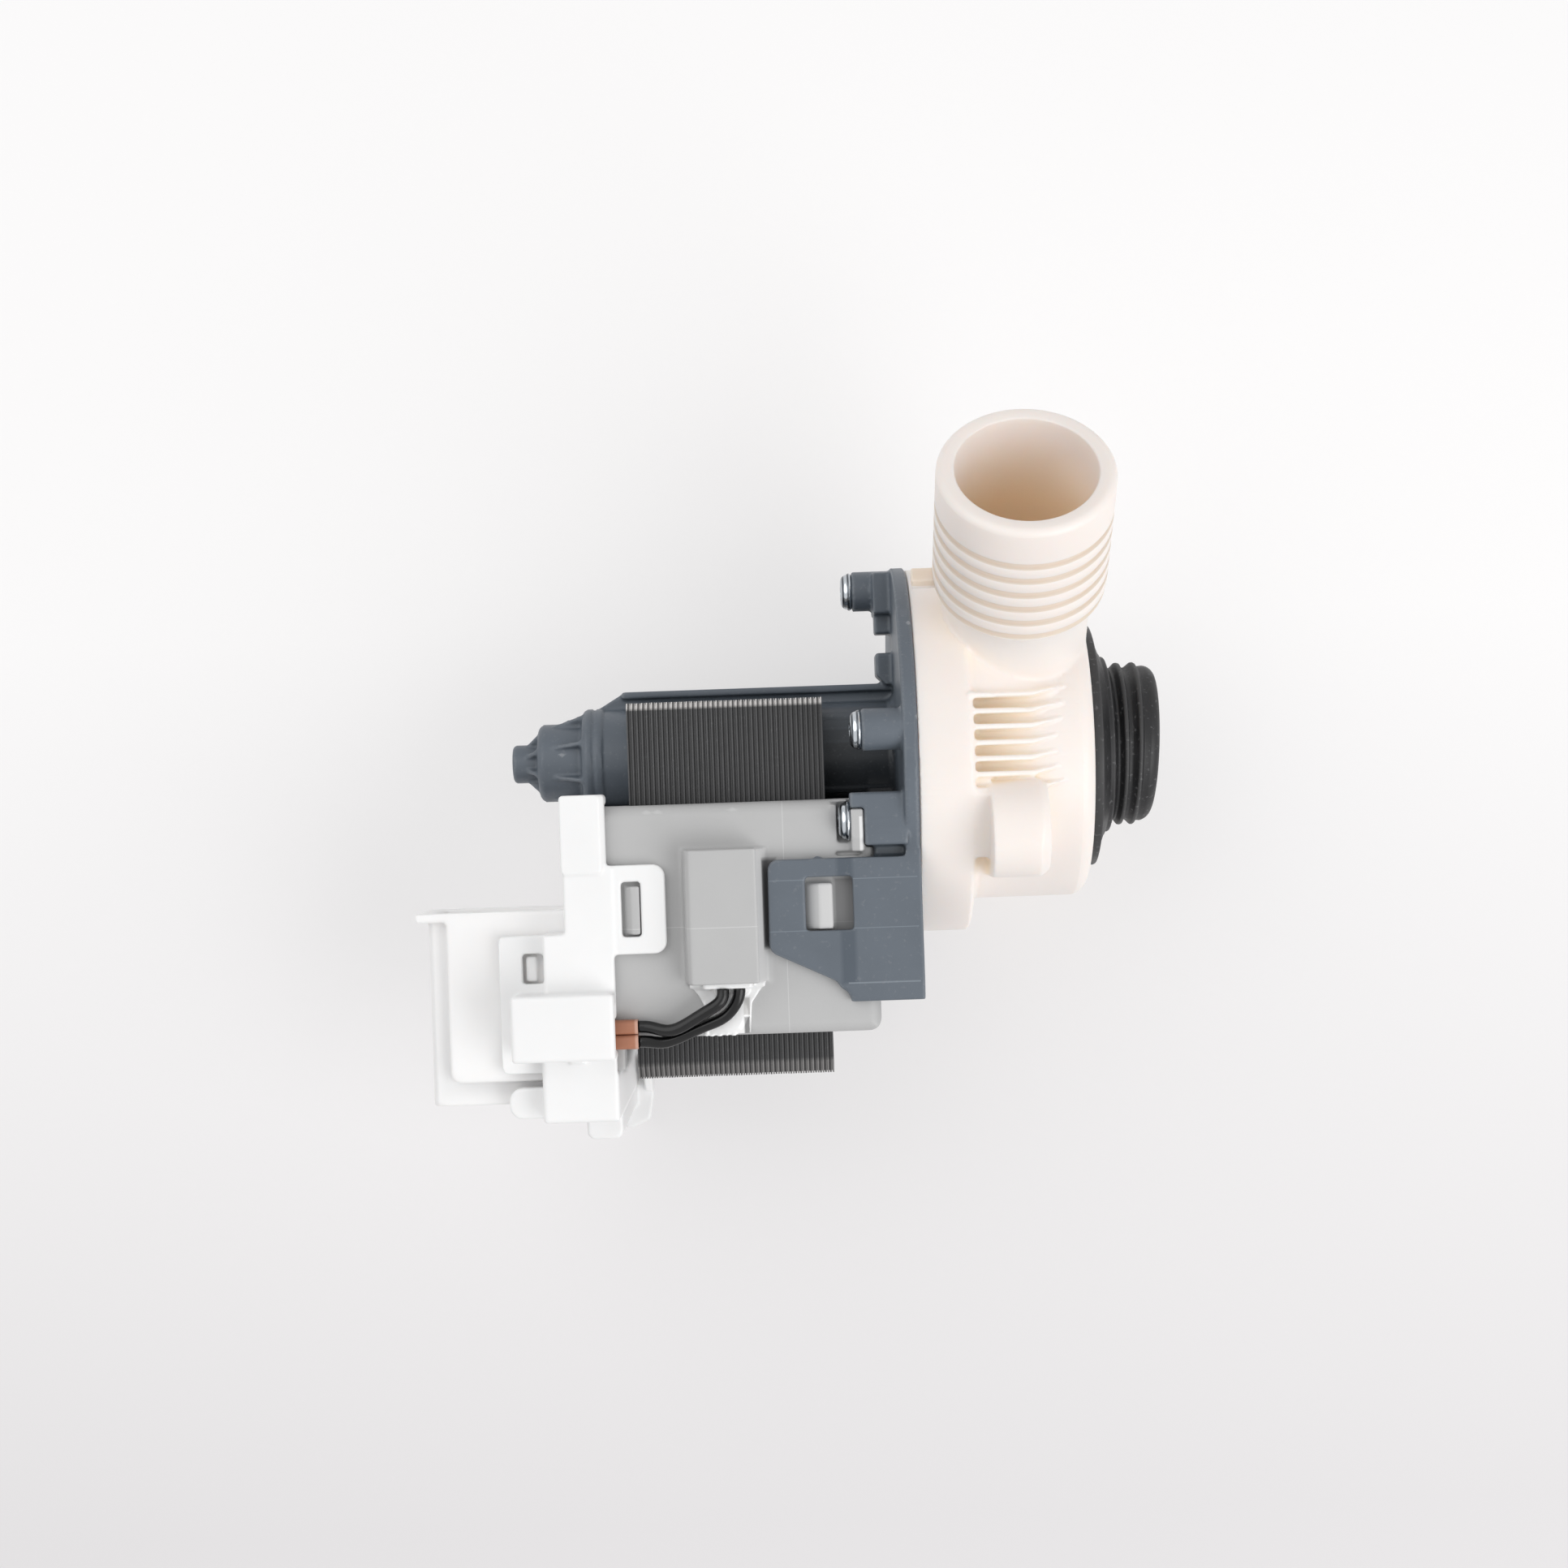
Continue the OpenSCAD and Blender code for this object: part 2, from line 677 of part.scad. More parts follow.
module inlet_seal() {
  color("#3c3d3f") turned(concat(
    [[seal_in, x_front], [seal_flange_r - 0.5, x_front], [seal_flange_r, x_front + 0.5],
     [seal_flange_r, x_front + seal_rim_t - 0.4], [seal_flange_r - 0.5, x_front + seal_rim_t],
     [seal_step_r + 0.8, x_seal_step - 0.1], [seal_step_r, x_seal_step + 0.6],
     [seal_step_r, x_seal_neck - 0.4], [seal_root_r, x_seal_neck],
     [seal_root_r, x_rib_1 - 1.2], [seal_rib_r, x_rib_1], [seal_rib_r, x_rib_1 + seal_land],
     [seal_root_r, x_rib_1 + seal_land + 0.5], [seal_root_r, x_rib_2 - 1.2], [seal_rib_r, x_rib_2],
     [seal_rib_r, x_rib_2 + seal_land], [seal_root_r + 0.3, x_rib_2 + seal_land + 0.5]],
    arc([seal_root_r + 0.3 - seal_nose, -seal_nose], seal_nose, 0, 90),
    [[inlet_r, 0], [inlet_r, x_collar_end + seal_gap], [seal_in, x_collar_end + seal_gap]]
  ));
}

// Screws

module casing_screws() {
  color("#c9ccd0") for (a = screw_angles) at_screw(a) {
    seat = is_ear(a) ? x_ear_seat : x_flange - boss_len;
    rod(seat - 0.5, x_mate + screw_bite, screw_r);
    turned(concat([[0, seat], [head_r, seat], [head_r, seat - 0.7]],
      arc([head_r - 1.4, seat - head_h + 1.4], 1.4, 0, -60, 4), [[1, seat - head_h - 0.1], [0, seat - head_h - 0.1]]));
  }
}

// Motor housing

housing_outline = concat(
  [[0, x_mate], [flange_r - 0.5, x_mate], [flange_r, x_mate - 0.5], [flange_r, x_flange + 0.3],
   [flange_r - 0.3, x_flange]],
  arc([tube_r + 2, x_flange - 2], 2, 90, 180),
  [[tube_r, x_tube_end + 4.6], [rim_r, x_tube_end + 4.2], [rim_r, x_tube_end + 3], [tube_r, x_tube_end + 2.7],
   [tube_r, x_tube_end + 2.3], [rim_r, x_tube_end + 2], [rim_r, x_tube_end + 1.2]],
  arc([tube_r - 0.9, x_tube_end + 1.2], 1.2, 0, -80, 4),
  [[cap_r + 0.4, x_tube_end], [cap_r, x_tube_end - 0.6]],
  arc([cap_r - 1.4, x_cap_end + 1.4], 1.4, 0, -90),
  [[nub_r, x_cap_end], [nub_r, x_nub_end + 0.5], [nub_r - 0.5, x_nub_end], [0, x_nub_end]]
);

// Thin plates that stand on the bearing cap and on the nub, all round
module cap_gussets() {
  for (i = [0:gusset_n - 1]) rotate([(i + 0.5) * 360 / gusset_n, 0, 0]) slab_y(-gusset_t / 2, gusset_t / 2) {
    polygon([[x_tube_end + 0.6, rear_pocket_r + 0.6], [x_tube_end + 0.6, rim_r - 0.3],
             [x_tube_end - 0.6, tube_r - 0.4], [x_cap_end + 3, cap_r + 0.05], [x_cap_end + 3, rear_pocket_r + 0.6]]);
    polygon([[x_cap_end + 0.5, nub_r - 0.8], [x_cap_end + 0.5, cap_r - 1.2], [x_cap_end - 0.3, cap_r - 1.8],
             [x_cap_end - 2.6, nub_r + 0.05], [x_cap_end - 2.6, nub_r - 0.8]]);
  }
}

// Fin with a bead, which runs in the gap between the poles of the core
module locating_fin() {
  web_end = x_core_back - 1.8;
  slab_z(-fin_t / 2, fin_t / 2) polygon(concat(
    [[web_end - 6.4, tube_r - 0.6], [web_end, fin_top - 0.4], [x_flange - 5, fin_top - 0.4]],
    arc([x_flange - 5, fin_top + 4.6], 5, 270, 360, 4),
    [[x_flange + 0.5, fin_top], [x_flange + 0.5, tube_r - 0.6]]
  ));
  slab_z(-fin_bead_w / 2, fin_bead_w / 2) round_rect(web_end, x_flange + 1.2, fin_top - fin_bead_t, fin_top, 0.6);
}

// Pads and hooks on the back of the flange beside the first screw
module flange_pads() {
  intersection() {
    union() {
      slab_x(x_flange - 3.7, x_flange + 0.5) round_rect(pad_near, flange_r, -pad_half, pad_half, 0.5);
      slab_x(x_flange - 3.5, x_flange + 0.5) round_rect(pad_near - 4, pad_near + 0.6, -pad_half / 2, pad_half / 2, 0.5);
      slab_z(-pad_half + 2, pad_half - 2) polygon([
        [x_flange + 0.5, fin_top + 6.2], [x_flange - 3.5, fin_top + 6.2], [x_flange - 3.5, fin_top + 1.6],
        [x_flange - 1.4, fin_top - 0.4], [x_flange + 0.5, fin_top - 0.4]
      ]);
    }
    rod(x_flange - 10, x_mate, flange_r - 0.6);
  }
}

// Plan of a latch arm: a plate over the coil cover that narrows towards its free end
module arm_plan() {
  polygon(concat(
    [[x_mate, -arm_near]],
    arc([x_arm_end + 1, -arm_near - 1], 1, 90, 180, 4),
    [[x_arm_end - 0.2, -arm_tip_far], [x_arm_end + 0.6, -arm_tip_far - 1.1], [x_arm_foot - 2.8, -arm_far + 4.2]],
    arc([x_arm_foot - 3, -arm_far], 3, 70, 0, 4),
    [[x_mate, -arm_far]]
  ));
}

module latch_arm() {
  difference() {
    slab_z(arm_bottom, arm_top) arm_plan();
    slab_z(arm_bottom - over, arm_top + over)
      rect(x_window, x_window + arm_window_len, -window_near - arm_window_w, -window_near);
    // The far edge steps down
    slab_x(x_arm_end, x_mate + over)
      polygon([[-arm_far + 3.4, arm_top], [-arm_far - 1, arm_top - 1.2], [-arm_far - 1, arm_top + over],
               [-arm_far + 3.4, arm_top + over]]);
  }
  // The web carries the arm on the flange
  slab_x(x_flange, x_mate) polygon([
    [-arm_near + 9, tube_r + 1.4], [-arm_near + 5, arm_top - 0.6], [-arm_near, arm_top],
    [-arm_far + 3.4, arm_top], [-arm_far, arm_top - 1.2], [-arm_far, core_half], [-flange_r + 3, leg_gap],
    [-arm_near - 3.2, leg_gap]
  ]);
  for (y = [-arm_near - 1.4, -arm_far + 4.8]) slab_y(y - 1.4, y)
    polygon([[x_mate, arm_bottom + 0.5], [x_cover_front + 0.6, arm_bottom + 0.5], [x_flange, core_half], [x_mate, core_half]]);
}

module motor_housing() {
  color("#5b6570") difference() {
    union() {
      turned(housing_outline);
      cap_gussets();
      locating_fin();
      flange_pads();
      both_sides() latch_arm();
      for (a = screw_angles) at_screw(a) rod(x_flange - boss_len, x_flange + 0.5, boss_r);
      for (a = ear_screws) ear_block(a);
      // Narrow ribs that centre the core on the tube
      for (a = [45:90:315]) rotate([a, 0, 0])
        slab_x(x_core_back + 4, x_flange - 1) rect(tube_r - 0.4, core_bore_r - 0.05, -0.6, 0.6);
    }
    rod(x_tube_end + 1, x_mate + over, can_r);
    rod(x_rear_pocket, x_tube_end + 1 + over, rear_pocket_r);
    rod(x_nub_end + 1.4, x_rear_pocket + over, nub_hole_r);
    for (a = screw_angles) at_screw(a) rod(x_flange - boss_len - over, x_mate + over, screw_r + 0.2);
  }
}

function is_ear(a) = len([for (e = ear_screws) if (e == a) e]) > 0;

// A square block round the boss that holds an ear of the coil cover, with a fence beside the ear
module ear_block(a) {
  y = bolt_circle_r * cos(a);
  z = bolt_circle_r * abs(sin(a));
  mirror([0, 0, sin(a) > 0 ? 0 : 1]) {
    slab_x(x_flange - boss_len, x_flange + 0.5)
      round_rect(y - boss_r - 0.8, y + block_near, z - boss_r, z + boss_r, 0.8);
    slab_x(x_ear_seat, x_flange + 0.5) round_rect(y + fence_in, y + block_near, z - boss_r, z + boss_r, 0.8);
  }
}

// Stator core: a U of stacked sheets, with the rotor bore between its poles
module core_plan() {
  c = pole_chamfer;
  k = yoke_chamfer;
  difference() {
    polygon([
      [core_top, leg_gap], [core_top, core_half - c], [core_top - c, core_half], [-core_far + k, core_half],
      [-core_far, core_half - k], [-core_far, -core_half + k], [-core_far + k, -core_half],
      [core_top - c, -core_half], [core_top, -core_half + c], [core_top, -leg_gap],
      [-core_far + yoke_t, -leg_gap], [-core_far + yoke_t, leg_gap]
    ]);
    circle(core_bore_r);
  }
}

module stator_core() {
  color("#3b3b3c") slab_x(x_core_back, x_core_front) core_plan();
}

// Coil cover: the moulded block round both coils, with ears, latch nubs and the cutout box

module latch_nub(x0, x1, y0, y1) {
  slab_y(y0, y1) polygon([[x0, cover_half - over], [x0, cover_half + 0.4], [(x0 + x1) / 2, cover_half + nub_rise],
                          [x1, cover_half + nub_rise], [x1, cover_half - over]]);
}

module cutout_box() {
  x0 = x_cutout - cutout_w / 2;
  x1 = x_cutout + cutout_w / 2;
  top = cover_half + cutout_h;
  slab_y(-cutout_far, -cutout_near) polygon([
    [x0 - 1.4, cover_half - over], [x0 - 1.4, cover_half + 0.4], [x0 - 0.7, top - 0.9], [x0 + 0.1, top],
    [x1 - 0.1, top], [x1 + 0.7, top - 0.9], [x1 + 1.4, cover_half + 0.4], [x1 + 1.4, cover_half - over]
  ]);
}

// An ear with an open slot for its screw
module cover_ear(a) {
  y = bolt_circle_r * cos(a);
  z = bolt_circle_r * abs(sin(a));
  slot = screw_r + 0.3;
  x1 = x_flange - boss_len - 0.05;
  mirror([0, 0, sin(a) > 0 ? 0 : 1]) difference() {
    slab_x(x_ear_seat + 0.05, x1) polygon([
      [y - ear_w, cover_half - ear_w], [y + fence_in - 0.1, cover_half - ear_w], [y + fence_in - 0.1, z + boss_r - 0.5],
      [y - 0.8 * boss_r, z + boss_r - 0.5], [y - ear_w, z + 0.5 * boss_r]
    ]);
    rod(x_ear_seat - over, x1 + over, slot, y, z);
    slab_x(x_ear_seat - over, x1 + over) rect(y, y + fence_in + over, z - slot, z + slot);
  }
}

// Room in the cover for the block, the fence and the screw head at an ear
module ear_room(a) {
  y = bolt_circle_r * cos(a);
  z = bolt_circle_r * abs(sin(a));
  low = z - boss_r - fit_gap;
  mirror([0, 0, sin(a) > 0 ? 0 : 1]) {
    slab_x(x_flange - boss_len - 0.05, x_cover_front + over)
      rect(y - boss_r - 0.8 - fit_gap, y + block_near + fit_gap, low, z + boss_r);
    slab_x(x_ear_seat - fit_gap, x_cover_front + over)
      rect(y + fence_in - 0.1, y + block_near + fit_gap, low, z + boss_r);
    rod(x_ear_seat - head_h - 1.4, x_ear_seat, head_r + 0.5, y, z);
    rod(x_ear_seat - over, x_cover_front + over, screw_r + 0.3, y, z);
  }
}

module coil_cover() {
  color("#b7b8b9") {
    difference() {
      union() {
        soft_block(x_cover_back, x_cover_front, -cover_far, -cover_near, -cover_half, cover_half, cover_round);
        both_sides() {
          latch_nub(x_tab_window + 0.5, x_tab_window + tab_window_len - 0.2, -tab_window_near - tab_window_w + 0.4,
                    -tab_window_near - 0.9);
          latch_nub(x_window + 0.2, x_window + arm_window_len - 3.9, -window_near - arm_window_w + 0.3,
                    -window_near - 1.2);
        }
        cutout_box();
        // Post beside the connector, at the far corner
        slab_z(cover_half - 9, cover_half - 2) rect(x_plate - 0.7, x_plate + 1.2, -cover_far - 6.2, -cover_far + over);
        for (a = ear_screws) cover_ear(a);
      }
      rod(x_cover_back - over, x_cover_front + over, core_bore_r);
      both_sides() {
        slab_y(-cover_far - over, -cover_near + over)
          rect(x_coil - leg_side, x_coil + leg_side, leg_in, leg_out);
      }
      slab_z(-coil_out - fit_gap, coil_out + fit_gap)
        rect(x_coil - coil_side - fit_gap, x_coil + coil_side + fit_gap, -bobbin_far - coil_clear,
             -bobbin_near + coil_clear);
      slab_y(-cutout_far - over, -pocket_near)
        round_rect(x_cutout - pocket_w / 2, x_cutout + pocket_w / 2, pocket_low, pocket_high, 0.8);
      for (a = ear_screws) ear_room(a);
      // Narrow slots beside the latch arms
      both_sides() slab_z(cover_half - 1.4, cover_half + over)
        rect(x_ear_seat - 3.1, x_ear_seat + 2, -arm_near + fit_gap, -arm_near + 1.2);
    }
  }
}

module bobbin() {
  difference() {
    union() {
      slab_y(-bobbin_far, -bobbin_near) rect(x_coil - bob_side, x_coil + bob_side, bob_in, bob_out);
      for (y = [-bobbin_near, -bobbin_far + flange_wall]) slab_y(y - flange_wall, y)
        rect(x_coil - coil_side, x_coil + coil_side, coil_in, coil_out);
    }
    slab_y(-bobbin_far - over, -bobbin_near + over) rect(x_coil - leg_side, x_coil + leg_side, leg_in, leg_out);
  }
}

module winding() {
  near = -bobbin_near - flange_wall - coil_clear;
  far = -bobbin_far + flange_wall + coil_clear;
  slab_y(far, near) difference() {
    round_rect(x_coil - coil_side, x_coil + coil_side, coil_in, coil_out, 2);
    rect(x_coil - bob_side - coil_clear, x_coil + bob_side + coil_clear, bob_in - coil_clear, bob_out + coil_clear);
  }
}

module upper_bobbin() {
  color("#d9d4c4") bobbin();
}

module lower_bobbin() {
  color("#d9d4c4") mirror([0, 0, 1]) bobbin();
}

module upper_winding() {
  color("#b0622d") winding();
}

module lower_winding() {
  color("#b0622d") mirror([0, 0, 1]) winding();
}

// Thermal cutout in its pocket, and the resin that closes the pocket

module thermal_cutout() {
  color("#8d9094") slab_y(-pocket_near - potting_in, -pocket_near)
    round_rect(x_cutout - cutout_switch_w / 2, x_cutout + cutout_switch_w / 2, pocket_low, pocket_high - 0.5, 0.6);
}

module potting_resin() {
  w = pocket_w / 2 - coil_clear;
  color("#fafafa") {
    slab_y(-cutout_far - potting_bulge, -pocket_near - potting_in)
      round_rect(x_cutout - w, x_cutout + w, pocket_low, pocket_high - coil_clear, 0.8);
    slab_z(cover_half, cover_half + potting_t) polygon([
      [x_cutout - potting_rim, -cutout_far], [x_cutout + potting_rim, -cutout_far],
      [x_cutout + potting_rim - 2.4, -cutout_far - 3.4], [x_cutout + potting_rim - 3, -cover_far + 0.8],
      [x_cutout - potting_rim + 2.8, -cover_far + 0.8], [x_cutout - potting_rim + 2.4, -cutout_far - 3.4]
    ]);
  }
}

// Leads

function unit(v) = v / norm(v);

function tangent(p, i) =
  unit(i == 0 ? p[1] - p[0] : i == len(p) - 1 ? p[i] - p[i - 1] : p[i + 1] - p[i - 1]);

// One ring of points square to the route
function ring(p, i, r, n) =
  let (t = tangent(p, i), side = unit(cross(t, [0, 0, 1])), up = cross(side, t))
  [for (k = [0:n - 1]) p[i] + r * (cos(360 * k / n) * side + sin(360 * k / n) * up)];

module swept(p, r, n) {
  m = len(p);
  points = [for (i = [0:m - 1]) each ring(p, i, r, n)];
  first = [for (k = [1:n - 2]) [0, k, k + 1]];
  last = [for (k = [1:n - 2]) [(m - 1) * n, (m - 1) * n + k + 1, (m - 1) * n + k]];
  sides = [for (i = [0:m - 2]) for (k = [0:n - 1]) let (a = i * n + k, b = i * n + (k + 1) % n)
    each [[a, a + n, b], [b, a + n, b + n]]];
  polyhedron(points, concat(first, sides, last));
}

module lead_wire_upper() {
  color("#161616") swept(upper_route, lead_r, lead_sides);
}

module lead_wire_lower() {
  color("#161616") swept(lower_route, lead_r, lead_sides);
}

module lead_sleeves() {
  color("#b87b62") for (i = [0, 1]) {
    y = sleeve_near_y - i * (sleeve_w + sleeve_gap);
    slab_x(x_sleeve - sleeve_len, x_sleeve) round_rect(y - sleeve_w, y, sleeve_low, sleeve_low + sleeve_h, 0.5);
  }
}

// Connector housing

// Plan of the plate that lies on the coil cover
module conn_plan() {
  difference() {
    union() {
      round_rect(x_conn_out, x_strap, -tab_near - 4, -strap_near, 0.8);
      rect(x_conn_out, x_plate, -box_near - 2, -tab_near);
      rect(x_conn_out, x_plate, -tab_near - 4, -tab_near);
      round_rect(x_plate - 5, x_tab, -tab_far, -tab_near, 2.4);
      rect(x_conn_out, x_plate, -conn_far, -box_near);
      rect(x_step_end, x_conn_in, -box_near - 2, -step_near);
    }
    rect(x_tab_window, x_tab_window + tab_window_len, -tab_window_near - tab_window_w, -tab_window_near);
  }
}

module terminal_box() {
  difference() {
    soft_block(x_box_end, x_plate, -box_far, -box_near, conn_low - 2, box_top, 0.8);
    slab_x(x_conn_in + 1, x_plate + over)
      rect(-box_far + shell_t - 0.3, -box_near - shell_t, conn_low - 3, box_top - shell_t);
  }
}

module lower_block() {
  x0 = x_step_end - 1.2;
  difference() {
    soft_block(x0, x_plate, -conn_far, -box_far + 1, -conn_high, conn_high - 2, 0.8);
    slab_z(-conn_high - over, conn_high - 4.4)
      rect(x0 + shell_t, x_plate - shell_t, -conn_far + shell_t, -box_far + 2);
    // Room for the shroud
    slab_z(shroud_low - fit_gap, latch_low) rect(x0 - over, x_conn_out, -shroud_far - fit_gap, -box_far + 2);
  }
}

module connector_housing() {
  color("#f2f2f4") difference() {
    union() {
      both_sides() {
        slab_z(conn_low, conn_high) intersection() {
          conn_plan();
          rect(x_step_end - over, x_tab + over, -box_far, -strap_near);
        }
        // Raised part of the strap
        slab_z(conn_high - 0.5, conn_high + 0.6)
          round_rect(x_conn_out - 0.3, x_strap - 0.9, -tab_near - 1.4, -strap_near, 0.8);
        // Hook over the near edge of the coil cover
        slab_z(cover_half - 4, conn_high) round_rect(x_conn_out, x_strap, -cover_near + fit_gap, -strap_near, 0.6);
        terminal_box();
      }
      // Wall behind the coil cover
      slab_x(x_conn_out, x_conn_in) rect(-box_far - 1, -cover_near + fit_gap, -conn_high, conn_high);
      lower_block();
      latch_plate();
      // Round tongue below the latch plate
      slab_z(latch_low - 3, latch_low + latch_t - 1.6)
        round_rect(x_latch + 1, x_step_end + 1, -conn_far + 0.4, -conn_far + 6.6, 2.6);
      tail_clip();
    }
    // The tab lies a little lower than the plate
    both_sides() slab_z(conn_high - 0.4, conn_high + 0.1) rect(x_plate, x_tab + over, -tab_far - over, -tab_near + over);
    // Room for the sleeves under the box
    slab_x(x_sleeve - sleeve_len - fit_gap, x_sleeve) rect(sleeve_near_y - 2 * sleeve_w - sleeve_gap - fit_gap,
      sleeve_near_y + fit_gap, conn_low - 3, sleeve_low + sleeve_h + fit_gap);
    // Room for the coil cover and for the end of the rotor tube
    slab_z(-conn_low, conn_low) rect(x_conn_in, x_tab + over, -cover_far - fit_gap, -cover_near + fit_gap);
    rod(x_conn_out - over, x_conn_in + over, rim_r + 0.6);
    // Room for the post of the coil cover
    slab_z(cover_half - 9 - fit_gap, cover_half) rect(x_plate - 1, x_plate + over, -cover_far - 6.5, -cover_far);
  }
}

// Plate that reaches over the shroud, with a window for the shroud's nub
module latch_plate() {
  difference() {
    slab_z(latch_low, latch_low + latch_t) round_rect(x_latch, x_conn_in, -latch_far, -latch_near, 1);
    slab_z(latch_low - over, latch_low + latch_t + over)
      rect(x_latch + 4.6, x_latch + 8.8, -latch_near - 9.6, -latch_near - 3.6);
  }
  slab_z(latch_low, conn_high) rect(x_step_end, x_conn_in, -box_near - 2, -step_near);
  slab_z(latch_low, conn_low) rect(x_box_end + 0.8, x_conn_in, -box_far + 0.4, -box_near - 0.4);
}

// Clip that reaches under the far end of the core
module tail_clip() {
  floor_top = -conn_high + shell_t;
  slab_z(-conn_high, floor_top) polygon([
    [x_plate - 3, -conn_far - 9.2], [x_plate - 3, -core_far - 0.6], [x_plate + clip_reach, -core_far - 0.6],
    [x_plate + clip_reach, -conn_far - 2], [x_plate + clip_reach - 1, -conn_far - 7.5],
    [x_plate - 1, -conn_far - 9.2]
  ]);
  slab_x(x_plate + clip_reach - 1.8, x_plate + clip_reach) polygon([
    [-core_far - 0.6, floor_top - 1], [-core_far - 0.6, floor_top + 12], [-conn_far - 1, floor_top + 4],
    [-conn_far - 1, floor_top - 1]
  ]);
  slab_z(floor_top - 1, 18) round_rect(x_plate - 7.6, x_plate - 0.3, -conn_far - 5, -conn_far + 1, 1.6);
}

// Connector shroud: a socket whose mouth faces the near side

module connector_shroud() {
  color("#f6f4f3") difference() {
    union() {
      slab_y(-shroud_far, -shroud_near)
        round_rect(x_shroud, x_conn_out, shroud_low, shroud_top - panel_rise, 2.4);
      slab_z(shroud_top - panel_rise - 1, shroud_top)
        round_rect(x_shroud + 4.1, x_conn_out, -shroud_far + 4.9, -shroud_near, 2);
      // Lip round the mouth
      slab_y(-shroud_near - 1.1, -shroud_near)
        rect(x_shroud - lip_reach, x_conn_out, shroud_low - lip_reach, shroud_top);
      // Nub in the window of the latch plate
      slab_z(shroud_top - over, shroud_top + 1.6)
        rect(x_latch + 5.2, x_latch + 7.4, -latch_near - 9.2, -latch_near - 4.2);
    }
    slab_y(-shroud_floor, -shroud_near + over)
      round_rect(x_shroud + shroud_wall, x_conn_out - shroud_wall, shroud_low + shroud_wall,
                 shroud_top - panel_rise, 1.2);
    for (x = blade_places) slab_y(-shroud_far - over, -shroud_floor + over)
      rect(x - blade_w / 2 - 0.05, x + blade_w / 2 + 0.05, blade_z - blade_t / 2 - 0.05, blade_z + blade_t / 2 + 0.05);
  }
}

blade_z = shroud_low + (shroud_h - panel_rise) / 2;
blade_mid = (x_shroud + x_conn_out) / 2;
blade_places = [blade_mid - blade_pitch / 2, blade_mid + blade_pitch / 2];

module terminal_blades() {
  color("#c8c4b4") for (x = blade_places) slab_z(blade_z - blade_t / 2, blade_z + blade_t / 2) polygon([
    [x - blade_w / 2, -shroud_far], [x + blade_w / 2, -shroud_far], [x + blade_w / 2, -shroud_floor + blade_len - 1],
    [x + blade_w / 2 - 1, -shroud_floor + blade_len], [x - blade_w / 2 + 1, -shroud_floor + blade_len],
    [x - blade_w / 2, -shroud_floor + blade_len - 1]
  ]);
}

// Bearings and seal in the housing

module bearing(x0) {
  tube(x0, x0 + bearing_len, bearing_r, shaft_r + run_gap);
}

module front_bearing() {
  color("#8a7f72") bearing(x_front_bearing);
}

module rear_bearing() {
  color("#8a7f72") bearing(x_rear_bearing);
}

module front_grommet() {
  inner = bearing_r + grommet_gap;
  color("#2b2b2b") difference() {
    tube(x_front_grommet, x_seal_back, can_r - grommet_gap, shaft_r + 1);
    rod(x_front_bearing - grommet_gap, x_front_bearing + bearing_len + grommet_gap, inner);
    rod(x_front_grommet - over, x_front_bearing + over, inner - 0.8);
  }
}

module rear_grommet() {
  inner = bearing_r + grommet_gap;
  color("#2b2b2b") difference() {
    tube(x_rear_pocket, x_rear_bearing + bearing_len, rear_pocket_r - grommet_gap, shaft_r + 1);
    rod(x_rear_bearing - grommet_gap, x_rear_bearing + bearing_len + over, inner);
  }
}

module shaft_seal() {
  color("#1f1f1f") turned([
    [shaft_r + run_gap, x_seal_back + 1.6], [shaft_r + 1.4, x_seal_back], [can_r - grommet_gap, x_seal_back],
    [can_r - grommet_gap, x_mate], [shaft_r + 3.6, x_mate], [shaft_r + 3, x_seal_back + 1.8],
    [shaft_r + 1.2, x_mate + 0.4], [shaft_r + run_gap, x_mate + 0.4]
  ]);
}

// Rotor

module rotor_shaft() {
  color("#c2c5c8") turned([[0, x_shaft_back], [shaft_r - 0.3, x_shaft_back], [shaft_r, x_shaft_back + 0.3],
                          [shaft_r, x_shaft_front - 0.3], [shaft_r - 0.3, x_shaft_front], [0, x_shaft_front]]);
}

module rotor_magnet() {
  color("#4a4a4c") tube(x_magnet, x_magnet + magnet_len, magnet_r, magnet_bore_r);
}

module magnet_carrier() {
  front = x_front_grommet - 1.2;
  back = x_rear_bearing + bearing_len + 0.6;
  color("#e8e4da") turned([
    [shaft_r, back], [shaft_r + 1.6, back], [shaft_r + 1.6, x_magnet - collar_t], [magnet_r - 0.6, x_magnet - collar_t],
    [magnet_r - 0.6, x_magnet], [magnet_bore_r - glue_gap, x_magnet], [magnet_bore_r - glue_gap, x_magnet + magnet_len],
    [magnet_r - 0.6, x_magnet + magnet_len], [magnet_r - 0.6, x_magnet + magnet_len + collar_t],
    [shaft_r + 1.6, x_magnet + magnet_len + collar_t], [shaft_r + 1.6, front - 0.6], [shaft_r, front - 0.6]
  ]);
}

module thrust_washer() {
  front = x_front_grommet - 1.2;
  color("#d6d2c6") tube(front - 0.6, front + 0.9, bearing_r, shaft_r + run_gap);
}

// Dog on the shaft, with a rubber pad on each flank

module dog_sector(r, w) {
  slab_x(x_dog, x_dog + dog_len) intersection() {
    circle(r);
    rect(0, r, -w / 2, w / 2);
  }
}

module drive_dog() {
  color("#e8e4da") difference() {
    union() {
      rod(x_dog, x_dog + dog_len, dog_hub_r);
      dog_sector(pocket_r - dog_gap, dog_w);
    }
    rod(x_dog - over, x_dog + dog_len + over, shaft_r + glue_gap);
  }
}

